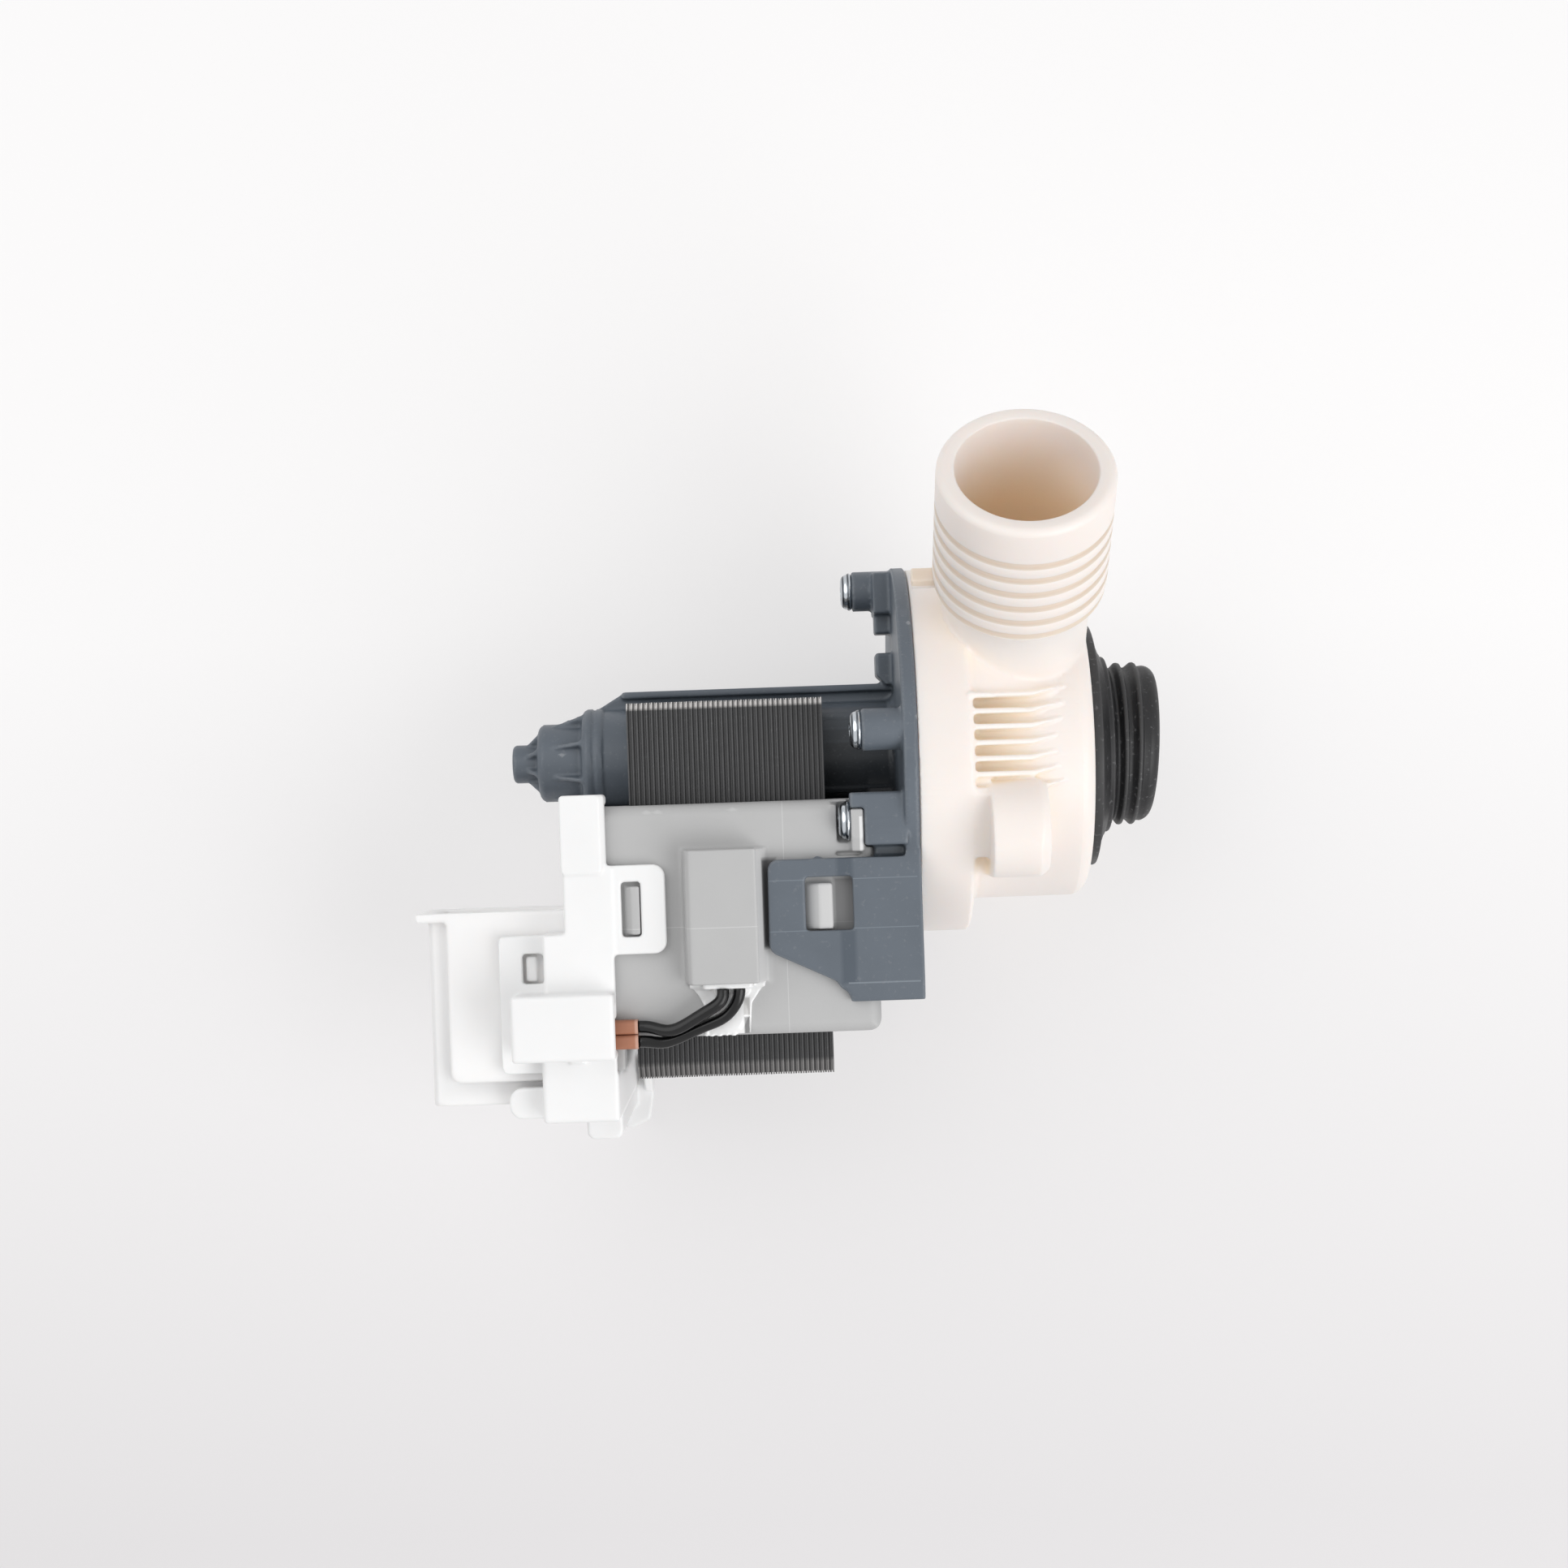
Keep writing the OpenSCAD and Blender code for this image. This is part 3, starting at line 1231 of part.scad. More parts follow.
module dog_damper() {
  color("#2b2b2b") difference() {
    dog_sector(pocket_r - dog_gap, dog_w + 2 * pad_t);
    slab_x(x_dog - over, x_dog + dog_len + over) rect(-1, pocket_r, -dog_w / 2, dog_w / 2);
    rod(x_dog - over, x_dog + dog_len + over, dog_hub_r + 0.02);
  }
}

// Impeller: a disc with straight vanes on a hollow hub that holds the dog
pad_half_angle = asin((dog_w / 2 + pad_t) / dog_hub_r);
stop_half_angle = (360 - lag_angle) / 2 - pad_half_angle;
stop_middle = 360 - pad_half_angle - stop_half_angle - 1.5;

module impeller_stop() {
  n = 6;
  r = pocket_r + 0.6;
  rotate([stop_middle, 0, 0]) slab_x(x_impeller_back + disc_t, x_impeller_back + disc_t + pocket_len + 0.5)
    difference() {
      polygon(concat([[0, 0]], [for (i = [-n:n]) r / cos(stop_half_angle / n / 2) *
        [cos(stop_half_angle * i / n), sin(stop_half_angle * i / n)]]));
      circle(dog_hub_r + stop_gap);
      difference() {
        circle(2 * pocket_r);
        circle(r);
      }
    }
}

module impeller() {
  pocket_end = x_impeller_back + disc_t + pocket_len;
  vane_end = x_impeller_back + disc_t + vane_len;
  color("#ece7dc") difference() {
    union() {
      tube(x_impeller_back, x_impeller_back + disc_t, impeller_r - 1.5, shaft_r + 2.2);
      turned([[pocket_r, x_impeller_back], [hub_r, x_impeller_back], [hub_r, pocket_end], [hub_r - 1, pocket_end + 2],
              [shaft_r + 2.4, pocket_end + 5.6], [1.6, pocket_end + 6.4], [0, pocket_end + 6.4], [0, pocket_end + 5],
              [shaft_r + hub_gap, pocket_end + 5], [shaft_r + hub_gap, pocket_end], [pocket_r, pocket_end]]);
      impeller_stop();
      for (i = [0:vane_n - 1]) rotate([i * 360 / vane_n + 45, 0, 0]) slab_y(-vane_t / 2, vane_t / 2)
        polygon([[x_impeller_back + 0.4, pocket_r + 0.9], [x_impeller_back + 0.4, impeller_r],
                 [vane_end - 3, impeller_r], [vane_end, impeller_r - 3], [vane_end, hub_r + 1],
                 [pocket_end + 1, pocket_r + 0.9]]);
    }
    tube(x_impeller_back - over, x_dog, pocket_r, 0);
  }
}

volute_casing();
inlet_seal();
casing_o_ring();
casing_screws();
motor_housing();
stator_core();
coil_cover();
upper_bobbin();
lower_bobbin();
upper_winding();
lower_winding();
thermal_cutout();
potting_resin();
lead_wire_upper();
lead_wire_lower();
lead_sleeves();
connector_housing();
connector_shroud();
terminal_blades();
shaft_seal();
front_bearing();
rear_bearing();
front_grommet();
rear_grommet();
rotor_shaft();
rotor_magnet();
magnet_carrier();
thrust_washer();
drive_dog();
dog_damper();
impeller();
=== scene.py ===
"""Detailed pieces and finishes of a washing machine drain pump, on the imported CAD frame."""
import math
import random

import bmesh
import bpy
from mathutils import Matrix, Vector


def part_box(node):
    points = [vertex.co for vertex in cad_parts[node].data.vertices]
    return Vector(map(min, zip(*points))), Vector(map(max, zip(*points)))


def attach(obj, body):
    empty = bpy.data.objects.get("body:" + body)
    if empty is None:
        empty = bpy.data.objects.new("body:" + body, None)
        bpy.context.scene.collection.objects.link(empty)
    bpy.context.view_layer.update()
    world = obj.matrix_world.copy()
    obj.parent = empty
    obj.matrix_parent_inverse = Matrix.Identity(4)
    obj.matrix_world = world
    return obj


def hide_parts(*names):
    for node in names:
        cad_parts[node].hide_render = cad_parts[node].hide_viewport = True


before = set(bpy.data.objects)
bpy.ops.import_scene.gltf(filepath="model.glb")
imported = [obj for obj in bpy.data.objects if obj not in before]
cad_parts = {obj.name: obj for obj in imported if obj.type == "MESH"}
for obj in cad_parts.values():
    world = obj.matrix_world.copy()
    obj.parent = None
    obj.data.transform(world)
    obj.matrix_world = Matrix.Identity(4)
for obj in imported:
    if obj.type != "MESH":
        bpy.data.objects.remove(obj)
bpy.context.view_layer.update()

bl_info = {
    "name": "Drain Pump",
    "version": (1, 0, 0),
    "blender": (4, 5, 0),
    "location": "View3D > Sidebar > Drain Pump",
    "description": "Builds the detailed pieces and finishes of a washing machine drain pump",
    "category": "Object",
}

# Shapes are worked out in millimetres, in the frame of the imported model, and turned to metres at the end.
MM = 0.001
MOTOR_AXIS = (Vector((0, 0, 0)), Vector((1, 0, 0)))
FLOOR_Z = -38.0

# The spigot: a point on its axis and its direction. What runs along it is measured from that point.
SPIGOT_TILT = math.radians(51)
SPIGOT_AXIS = (Vector((-29.9, 4.119, -3.335)), Vector((0, math.cos(SPIGOT_TILT), math.sin(SPIGOT_TILT))))
SPIGOT_R = 17.05
SPIGOT_BORE_R = 13.55
SPIGOT_END = 75.18
SPIGOT_FOOT = 44
NECK_R = 14.2
RIM_ROUND = 1.5
GROOVES = 6
GROOVE_START = 46.2
GROOVE_PITCH = 3.84
GROOVE_WIDTH = 1.5
GROOVE_DEPTH = 0.55
STOP_START = 45.2
STOP_THICK = 2.4
STOP_WIDE = 3.6
STOP_REACH = 4.2

# The casing: radii of its turned faces from the drum to the inlet, and its lug, whose front is cut away in a
# box and set in anew
CASING_RADII = (37.5, 31, 27, 13)
BODY_R = 31
LUG_AT = (-16.1, 30.2)
LUG_R = 9.6
LUG_BACK = -37.2
LUG_FRONT = -25.9
LUG_ROUND = 1.4
LUG_CUT = ((-27.6, -27, 15), (-24.9, -8.7, 42))
# The neck's root, which runs out softly: how far it lies from the spigot's axis and along it, and how far
# from the motor's axis
ROOT_OUT = (14.0, 20.5)
ROOT_ALONG = (20, 42)
ROOT_CLEAR = 28.5
# The casing's solid parts above the first rib, between drum and lug, and beside the ribs: each an outline in
# (radius, x) and the two corners of the box that it is kept to
CASING_FILLS = (
    ([(28, -41), (36.6, -41), (30.5, -21.3), (28, -21.3)], (-41, 10, 5), (-21.3, 24, 38)),
    ([(28, -42), (37.4, -42), (37.4, -37.7), (28, -37.7)], (-41.8, -21.7, 20), (-37.5, -9.1, 40)),
    ([(28, -42), (34.8, -42), (34.8, -37), (28, -37)], (-41.8, -9.3, 20), (-36.8, -5.8, 40)))

# The seal's outline in (radius, x): its wide flange, the step behind it and the two barbs
SEAL_FLANGE = [(15.1, -15.6), (24.5, -15.6), (24.85, -15.45), (25.0, -15.1), (25.0, -13.8), (24.85, -13.5),
               (24.5, -13.4), (22.8, -13.1), (19.9, -12.0), (19.3, -11.7), (19.05, -11.5)]
SEAL_STEP = [(18.6, -11.45), (18.3, -11.3), (18.2, -11.0), (18.2, -10.6), (18.05, -10.35), (17.6, -10.2),
             (16.6, -9.9), (15.95, -9.6)]
SEAL_BARBS = [(15.8, -9.1), (15.9, -8.8), (16.5, -8.2), (16.8, -7.9), (16.85, -7.5), (16.75, -7.15),
              (16.4, -6.95), (15.95, -6.85), (15.8, -6.4), (15.85, -5.9), (16.5, -5.0), (16.8, -4.65),
              (16.85, -4.2), (16.7, -3.9), (16.2, -3.7), (16.0, -3.3)]
SEAL_MOUTH = [(13.4, -0.1), (13.0, -0.5), (13.0, -7.9), (15.1, -7.9)]
# Its lean begins at one x and is full at the other, and grows downwards from a height over a depth
LEAN_START = -9.5
LEAN_FULL = -1.5
LEAN_TOP = 14
LEAN_DEPTH = 30

# The housing: radii of its turned faces, and the latch arms' outer corners, each a box with the axis and the
# radius of its rounding
HOUSING_RADII = (38, 10.6, 10.95, 9.4, 8.05, 3.95)
ARM_CORNERS = (((-82, -22.7, -45), (-79.2, -20, 45), (-79.2, -22.7), 1.9),
               ((-82, -40.6, -45), (-79.9, -37.4, 45), (-79, -37.4), 2.2))
# The web under the screw ear as a box, and the little bump on the arm's edge as its centre and radii
EAR_WEB = ((-60, -21.6, 25), (-53.9, -18.4, 30.6))
ARM_BUMP = ((-71.2, -20.7, 31.6), (0.75, 0.5, 0.8))

# The screws: where their heads seat, their angles about the motor axis, and the radii of boss and bore
HEAD_SEAT = -61.9
EAR_SEAT = -64.6
SCREWS = ((0, HEAD_SEAT), (83, HEAD_SEAT), (114, EAR_SEAT), (246, EAR_SEAT), (277, HEAD_SEAT))
SCREW_CIRCLE = 33.5
BOSS_RADII = (4.1, 1.95)
BOSS_FRONT = -54

# The stator: radius of its bore, half the opening between its poles, and the cut corners of poles and yoke
CORE_BORE_R = 11.05
POLE_GAP = 6.2
POLE_CHAMFER = 1.4
YOKE_CHAMFER = 2.6
YOKE_WIDE = 9

# The cutout box's slanted side as an outline in (x, z), and the fills beside the heads of the ears' screws
BOX_SLANT = [(-83.5, 37), (-81.9, 37), (-80.9, 30.4), (-81.7, 30.4)]
EAR_FILLS = (((-68.5, -18.3, 24), (-67.25, -10.4, 29.9)), ((-68.5, -18.3, -29.9), (-67.25, -10.4, -24)))

# The resin that ran out of the box: its funnel on the cover in (x, y), the bars along its edges as two ends
# and a radius, the drops at its lower end in (x, y), and its lumps as centre and radii
RESIN_FUNNEL = [(-97.6, -44.3), (-81.9, -44.3), (-83.6, -46.6), (-85.0, -48.6), (-85.5, -54.7),
                (-94.4, -54.7), (-94.4, -49.3), (-95.4, -47.2)]
RESIN_BARS = (((-97.2, -44.9, 30.6), (-82.3, -44.9, 30.6), 0.75),
              ((-94.2, -48.4, 30.5), (-94.2, -54.4, 30.5), 0.4))
RESIN_DROPS = ((-94.2, -54.7), (-93.1, -54.8), (-91.6, -54.85), (-90.2, -54.7), (-88.8, -54.8))
RESIN_LUMPS = (((-90.6, -46.2, 31.1), (1.9, 1.6, 1.3)), ((-87.4, -45.8, 31.3), (1.9, 1.5, 1.4)),
               ((-89.2, -50.4, 30.6), (3.2, 4, 0.5)))

# The rest of the shroud's roof, and the fuller lip round three sides of its mouth, as boxes
SHROUD_WALLS = (((-149, -67.5, 19.2), (-121.6, -30, 20.21)), ((-151.8, -31.3, 20), (-121.5, -29.5, 23.4)),
                ((-151.8, -31.3, 1.4), (-148.6, -29.5, 23.4)), ((-151.8, -31.3, 1.4), (-121.5, -29.5, 4.4)))

# The sleeves: where they start and where their mouths are, their bottom and top, and the lower edge of each
SLEEVE_BACK = -118.5
SLEEVE_MOUTH = -107.5
SLEEVE_HEIGHT = (30.3, 33.3)
SLEEVE_EDGES = (-53.9, -56.8)
# The leads' routes, given along the real ones
UPPER_LEAD = [
    (-90.6, -45.5, 34.4), (-90.6, -46.1, 34.4), (-90.6, -46.9, 34.5), (-91.1, -47.9, 34.6),
    (-92.2, -48.8, 34.5), (-93.8, -49.7, 34.3), (-95.5, -50.7, 34.1), (-97.2, -51.7, 34),
    (-98.8, -52.6, 33.8), (-100.5, -53.3, 33.5), (-102.2, -53.4, 33.1), (-103.8, -53, 32.5),
    (-105.2, -52.6, 32), (-106.4, -52.5, 31.8), (-107.5, -52.5, 31.8)]
LOWER_LEAD = [
    (-87.4, -45.5, 33.4), (-87.4, -46.1, 33.4), (-87.5, -47, 33.3), (-88, -48.2, 33), (-88.8, -49.5, 32.7),
    (-90, -50.8, 32.3), (-91.6, -51.8, 32.1), (-93.6, -52.5, 32), (-95.8, -53.3, 31.7),
    (-98, -54.3, 31.5), (-100.2, -55.2, 31.5), (-102.2, -55.8, 31.5), (-104, -55.8, 31.6),
    (-105.8, -55.4, 31.8), (-107.5, -55.4, 31.8)]

# The photograph's camera: its frame and focal length in pixels, its place in metres and its roll
FRAME_PX = 1932
FOCAL_PX = 3150
SENSOR = 36
CAMERA_AT = (-0.0773, -0.00598, 0.5327)
CAMERA_ROLL = math.radians(-2)
# The lamps: place in metres, size in metres and power in watts
LAMPS = (("key", (0.50, -0.34, 0.64), 0.7, 4.45), ("fill", (-0.52, 0.28, 0.62), 0.8, 2.2))

# Sockets of a Mix node that blends colours: how much, the colour below, the colour above and the result
AMOUNT, BELOW, ABOVE, BLENDED = 0, 6, 7, 2
# Most triangles of a large moulding, so that the export doesn't thin it
MOST_TRIANGLES = 190000


def linear(code):
    """The linear colour of an sRGB hex code."""
    values = [int(code[i:i + 2], 16) / 255 for i in (1, 3, 5)]
    return tuple(v / 12.92 if v <= 0.04045 else ((v + 0.055) / 1.055) ** 2.4 for v in values)


# Sizes and colours that a user may change

class PumpSizes(bpy.types.PropertyGroup):
    voxel: bpy.props.FloatProperty(
        name="Moulding fineness", description="Grid on which the mouldings get their soft edges",
        default=0.36 * MM, min=0.25 * MM, max=1 * MM, unit="LENGTH", precision=5)
    lead: bpy.props.FloatProperty(
        name="Lead diameter", description="Outside diameter of the black leads",
        default=2.4 * MM, min=1 * MM, max=2.6 * MM, unit="LENGTH", precision=5)
    sheet_pitch: bpy.props.FloatProperty(
        name="Sheet thickness", description="Distance from one stator sheet to the next",
        default=0.5 * MM, min=0.4 * MM, max=1 * MM, unit="LENGTH", precision=5)
    seal_lean: bpy.props.FloatProperty(
        name="Seal lean", description="How far the lower lip of the rubber seal leans back",
        default=1.7 * MM, min=0, max=2.5 * MM, unit="LENGTH", precision=5)


def colour(label, code, text):
    """A colour that a user may change."""
    return bpy.props.FloatVectorProperty(
        name=label, description=text, subtype="COLOR", size=3, min=0, max=1, default=linear(code))


class PumpColours(bpy.types.PropertyGroup):
    ivory: colour("Casing", "#f4ece7", "Ivory polypropylene of the pump casing")
    slate: colour("Motor housing", "#5d656e", "Slate polypropylene of the motor housing")
    grey: colour("Coil cover", "#b8b8b8", "Grey polyester of the coil cover")
    white: colour("Connector", "#f4f4f4", "White nylon of the connector housing")
    cream: colour("Shroud", "#fbf9f8", "White nylon of the plug shroud")
    rubber: colour("Rubber", "#161618", "Black rubber of the seals")
    terracotta: colour("Sleeves", "#aa7258", "Terracotta sleeves on the leads")


# Materials

def add(tree, kind, settings=(), inputs=()):
    """Adds a node: settings are its properties, inputs are values or the sockets that feed it."""
    node = tree.nodes.new(kind)
    for name, value in dict(settings).items():
        setattr(node, name, value)
    for name, value in dict(inputs).items():
        socket = node.inputs[name]
        if isinstance(value, bpy.types.NodeSocket):
            tree.links.new(value, socket)
        else:
            socket.default_value = value
    return node


def spigot_masks(tree, at):
    """Masks for painted shade: where the spigot's wall is thin at its grooves, and how deep a point lies in
    its bore.
    """
    origin, axis = SPIGOT_AXIS
    arm = add(tree, "ShaderNodeVectorMath", {"operation": "SUBTRACT"}, {0: at, 1: origin * MM}).outputs[0]
    out = add(tree, "ShaderNodeVectorMath", {"operation": "CROSS_PRODUCT"}, {0: arm, 1: axis}).outputs[0]
    out = add(tree, "ShaderNodeVectorMath", {"operation": "LENGTH"}, {0: out}).outputs["Value"]
    up = add(tree, "ShaderNodeVectorMath", {"operation": "DOT_PRODUCT"}, {0: arm, 1: axis}).outputs["Value"]
    middle = GROOVE_START + GROOVE_WIDTH / 2
    last = GROOVE_START + GROOVE_PITCH * (GROOVES - 1) + GROOVE_WIDTH
    turn = add(tree, "ShaderNodeMath", {"operation": "SUBTRACT"}, {0: up, 1: middle * MM}).outputs[0]
    turn = add(tree, "ShaderNodeMath", {"operation": "DIVIDE"}, {
        0: turn, 1: GROOVE_PITCH / 2 * MM}).outputs[0]
    turn = add(tree, "ShaderNodeMath", {"operation": "PINGPONG"}, {0: turn, 1: 1.0}).outputs[0]
    groove = add(tree, "ShaderNodeMapRange", inputs={
        "Value": turn, "From Min": 0.47, "From Max": 0.40, "To Min": 0.0, "To Max": 1.0}).outputs["Result"]
    for value, off, on in ((out, 15.4, 15.9), (up, GROOVE_START - 0.5, GROOVE_START - 0.3),
                           (up, last + 0.5, last + 0.3)):
        near = add(tree, "ShaderNodeMapRange", inputs={
            "Value": value, "From Min": off * MM, "From Max": on * MM, "To Min": 0.0, "To Max": 1.0})
        groove = add(tree, "ShaderNodeMath", {"operation": "MULTIPLY"}, {
            0: groove, 1: near.outputs["Result"]}).outputs[0]
    wall = add(tree, "ShaderNodeMapRange", inputs={
        "Value": out, "From Min": (NECK_R - 0.2) * MM, "From Max": (NECK_R - 0.4) * MM,
        "To Min": 0.0, "To Max": 1.0})
    down = add(tree, "ShaderNodeMapRange", inputs={
        "Value": up, "From Min": 71 * MM, "From Max": 54 * MM, "To Min": 0.0, "To Max": 1.0})
    bore = add(tree, "ShaderNodeMath", {"operation": "MULTIPLY"}, {
        0: wall.outputs["Result"], 1: down.outputs["Result"]}).outputs[0]
    return groove, bore


def box_mask(tree, at, low, high):
    """Where a point lies in a box, with soft edges that get narrower with the box."""
    low, high = Vector(low) * MM, Vector(high) * MM
    away = add(tree, "ShaderNodeVectorMath", {"operation": "SUBTRACT"}, {0: at, 1: (low + high) / 2})
    away = add(tree, "ShaderNodeVectorMath", {"operation": "ABSOLUTE"}, {0: away.outputs[0]})
    away = add(tree, "ShaderNodeVectorMath", {"operation": "SUBTRACT"}, {
        0: away.outputs[0], 1: (high - low) / 2})
    away = add(tree, "ShaderNodeSeparateXYZ", inputs={"Vector": away.outputs[0]})
    most = add(tree, "ShaderNodeMath", {"operation": "MAXIMUM"}, {0: away.outputs[0], 1: away.outputs[1]})
    most = add(tree, "ShaderNodeMath", {"operation": "MAXIMUM"}, {0: most.outputs[0], 1: away.outputs[2]})
    soft = max(0.06, min(0.5, min(high - low) * 150)) * MM
    return add(tree, "ShaderNodeMapRange", inputs={
        "Value": most.outputs[0], "From Min": -soft, "From Max": soft,
        "To Min": 0.85, "To Max": 0.0}).outputs["Result"]


def material(name, base, roughness, grain=0.5, depth=0.008, mottle=14, drift=0.02, spread=0.04, edge=0.0,
             dust=0.0, pitch=0.0, hollow=None, thin=None, bore=None, marks=(), **shader):
    """A finish, with lengths in millimetres.

    grain and depth are the width and height of its grain, mottle is the size of its clouds, and drift and
    spread say how much they change colour and roughness. edge lightens sharp edges, dust adds pale specks,
    and pitch draws the dark gaps between the sheets of a stack. hollow is a painted shade laid in the
    hollows, thin and bore are painted shades in the spigot's grooves and down its bore, and marks are (low
    corner, high corner, colour) of lines and faces, among them painted light and shade.
    """
    known = bpy.data.materials.get(name)
    if known:
        return known
    mat = bpy.data.materials.new(name)
    mat.use_nodes = True
    tree = mat.node_tree
    principled = tree.nodes["Principled BSDF"]
    at = add(tree, "ShaderNodeTexCoord").outputs["Object"]
    slow = add(tree, "ShaderNodeTexNoise", inputs={"Vector": at, "Scale": 1 / (mottle * MM), "Detail": 4})
    fine = add(tree, "ShaderNodeTexNoise", inputs={"Vector": at, "Scale": 1 / (grain * MM), "Detail": 3})
    tone = add(tree, "ShaderNodeMapRange", inputs={
        "Value": slow.outputs["Fac"], "From Min": 0.3, "From Max": 0.7,
        "To Min": 1 - drift, "To Max": 1 + drift})
    shade = add(tree, "ShaderNodeMix", {"data_type": "RGBA", "blend_type": "MULTIPLY"}, {
        AMOUNT: 1.0, BELOW: (*base, 1), ABOVE: tone.outputs["Result"]}).outputs[BLENDED]

    # What lies over the base colour, from below: how much of it, its colour and how it blends
    layers = []
    # Painted shade: the hollow colour is laid where ambient occlusion finds the surface closed in
    if hollow:
        inside = add(tree, "ShaderNodeAmbientOcclusion", {"samples": 8, "only_local": True}, {
            "Distance": 12 * MM})
        deep = add(tree, "ShaderNodeMapRange", inputs={
            "Value": inside.outputs["AO"], "From Min": 0.7, "From Max": 0.2, "To Min": 0.0, "To Max": 1.0})
        layers.append((deep.outputs["Result"], hollow, "MIX"))
    # Painted shade in the spigot's grooves and down its bore
    if thin:
        groove_mask, bore_mask = spigot_masks(tree, at)
        layers += [(groove_mask, thin, "MIX"), (bore_mask, bore, "MIX")]
    # Sharp edges are lightened, by how pointed the surface is
    if edge:
        point = add(tree, "ShaderNodeNewGeometry").outputs["Pointiness"]
        edge_lightening = add(tree, "ShaderNodeMapRange", inputs={
            "Value": point, "From Min": 0.52, "From Max": 0.62, "To Min": 0.0, "To Max": edge})
        layers.append((edge_lightening.outputs["Result"], "#bcbcbc", "SCREEN"))
    layers += [(box_mask(tree, at, low, high), code, "MIX") for low, high, code in marks]
    if dust:
        specks = add(tree, "ShaderNodeTexNoise", inputs={"Vector": at, "Scale": 1 / (0.9 * MM), "Detail": 2})
        spot = add(tree, "ShaderNodeMapRange", inputs={
            "Value": specks.outputs["Fac"], "From Min": 0.62, "From Max": 0.74,
            "To Min": 0.0, "To Max": dust})
        layers.append((spot.outputs["Result"], "#a0a0a2", "MIX"))
    if pitch:
        along = add(tree, "ShaderNodeSeparateXYZ", inputs={"Vector": at}).outputs["X"]
        count = add(tree, "ShaderNodeMath", {"operation": "DIVIDE"}, {0: along, 1: pitch * MM})
        wave = add(tree, "ShaderNodeMath", {"operation": "PINGPONG"}, {0: count.outputs[0], 1: 1.0})
        gap = add(tree, "ShaderNodeMapRange", inputs={
            "Value": wave.outputs[0], "From Min": 0.7, "From Max": 0.25, "To Min": 0.0, "To Max": 0.8})
        layers.append((gap.outputs["Result"], "#121213", "MIX"))
    for amount, code, blend in layers:
        shade = add(tree, "ShaderNodeMix", {"data_type": "RGBA", "blend_type": blend}, {
            AMOUNT: amount, BELOW: shade, ABOVE: (*linear(code), 1)}).outputs[BLENDED]

    gloss = add(tree, "ShaderNodeMapRange", inputs={
        "Value": slow.outputs["Fac"], "From Min": 0.3, "From Max": 0.7,
        "To Min": roughness - spread, "To Max": roughness + spread})
    bump = add(tree, "ShaderNodeBump", inputs={
        "Height": fine.outputs["Fac"], "Distance": depth * MM, "Strength": 1.0})
    tree.links.new(shade, principled.inputs["Base Color"])
    tree.links.new(gloss.outputs["Result"], principled.inputs["Roughness"])
    tree.links.new(bump.outputs["Normal"], principled.inputs["Normal"])
    for socket, value in shader.items():
        principled.inputs[socket.replace("_", " ")].default_value = value
    return mat


def shades():
    """The colours as the scene has them now."""
    return bpy.context.scene.pump_colours


def ivory_polypropylene():
    # Moulded polypropylene: a satin skin that light goes into, and painted tan shade in the hollows, in the
    # grooves and down the spigot's bore, for light that has gone through the wall
    return material("moulded_ivory_polypropylene", shades().ivory, 0.42, 0.6, 0.006, 22, 0.012,
                    hollow="#fff0df", thin="#eadccd", bore="#ffe8cd", Subsurface_Weight=0.6,
                    Subsurface_Radius=(1.0, 0.82, 0.7), Subsurface_Scale=2.4 * MM, IOR=1.49)


def slate_polypropylene():
    # Filled polypropylene: a faint eggshell grain, pale flash along the arms' partings, and painted light and
    # shade
    # Painted shade in bands where the arms bend
    bend_shade = [((-67.6, -24.6, 29), (-64.5, -20, 40), "#48515b"),
             ((-67.2, -45.4, 29), (-64.3, -35, 40), "#48515b")]
    # Pale flash along the arms' parting lines, and last a painted highlight along the step below the arm
    partings_and_highlight = [((-81.2, -24.95, 29), (-73.2, -24.8, 40), "#79828b"),
             ((-64.5, -25, 29), (-51.9, -24.85, 40), "#79828b"),
             ((-81.2, -34.9, 29), (-73, -34.75, 40), "#79828b"),
             ((-64.5, -34.7, 29), (-51.9, -34.55, 40), "#79828b"),
             ((-66, -45.5, 29), (-51.9, -45.2, 40), "#7d858d")]
    # Painted shade on the tube's glossy stretch between core and flange, darker the deeper it lies
    tube = [((-69.2, low, 0), (-54.2, high, 12), code) for low, high, code in (
        (7.2, 9.4, "#4c5259"), (5, 7.2, "#3f454b"), (2.4, 5, "#32363b"), (-12, 2.4, "#222528"))]
    # The hollow colour is a painted dark shade in the housing's hollows
    return material("moulded_slate_polypropylene", shades().slate, 0.42, 0.35, 0.008, 9, 0.05, edge=0.3,
                    dust=0.12, hollow="#42494f", marks=bend_shade + partings_and_highlight + tube, IOR=1.49)


def grey_polyester():
    # Spark-eroded mould: a fine, even matte grain, drawn at 0.3 mm so that it shows, and two parting lines
    lines = [((-119, -33.5, 26), (-58, -33.36, 48), "#d0d0d0"),
             ((-77.95, -56, 26), (-77.8, -9, 31), "#cccccc")]
    # Painted light on the box's slanted side and the latch nub, painted shade on the latch window's floor and
    # in the gap by the box, and the ear's flash
    faces = [((-83.5, -44.7, 30.5), (-81.2, -18.2, 36.5), "#dadada"),
             ((-68.1, -35.2, 25), (-64.2, -24.8, 30.3), "#454547"),
             ((-62.9, -19.8, 31), (-62.3, -12.8, 40), "#efefef"),
             ((-73.6, -35.2, 30.7), (-68.1, -24.8, 36), "#cfcfcf"),
             ((-82.6, -38, 25), (-79.6, -20.5, 32.6), "#565658")]
    return material("grained_grey_polyester", shades().grey, 0.55, 0.3, 0.02, 11, 0.02, edge=0.25, IOR=1.55,
                    marks=lines + faces)


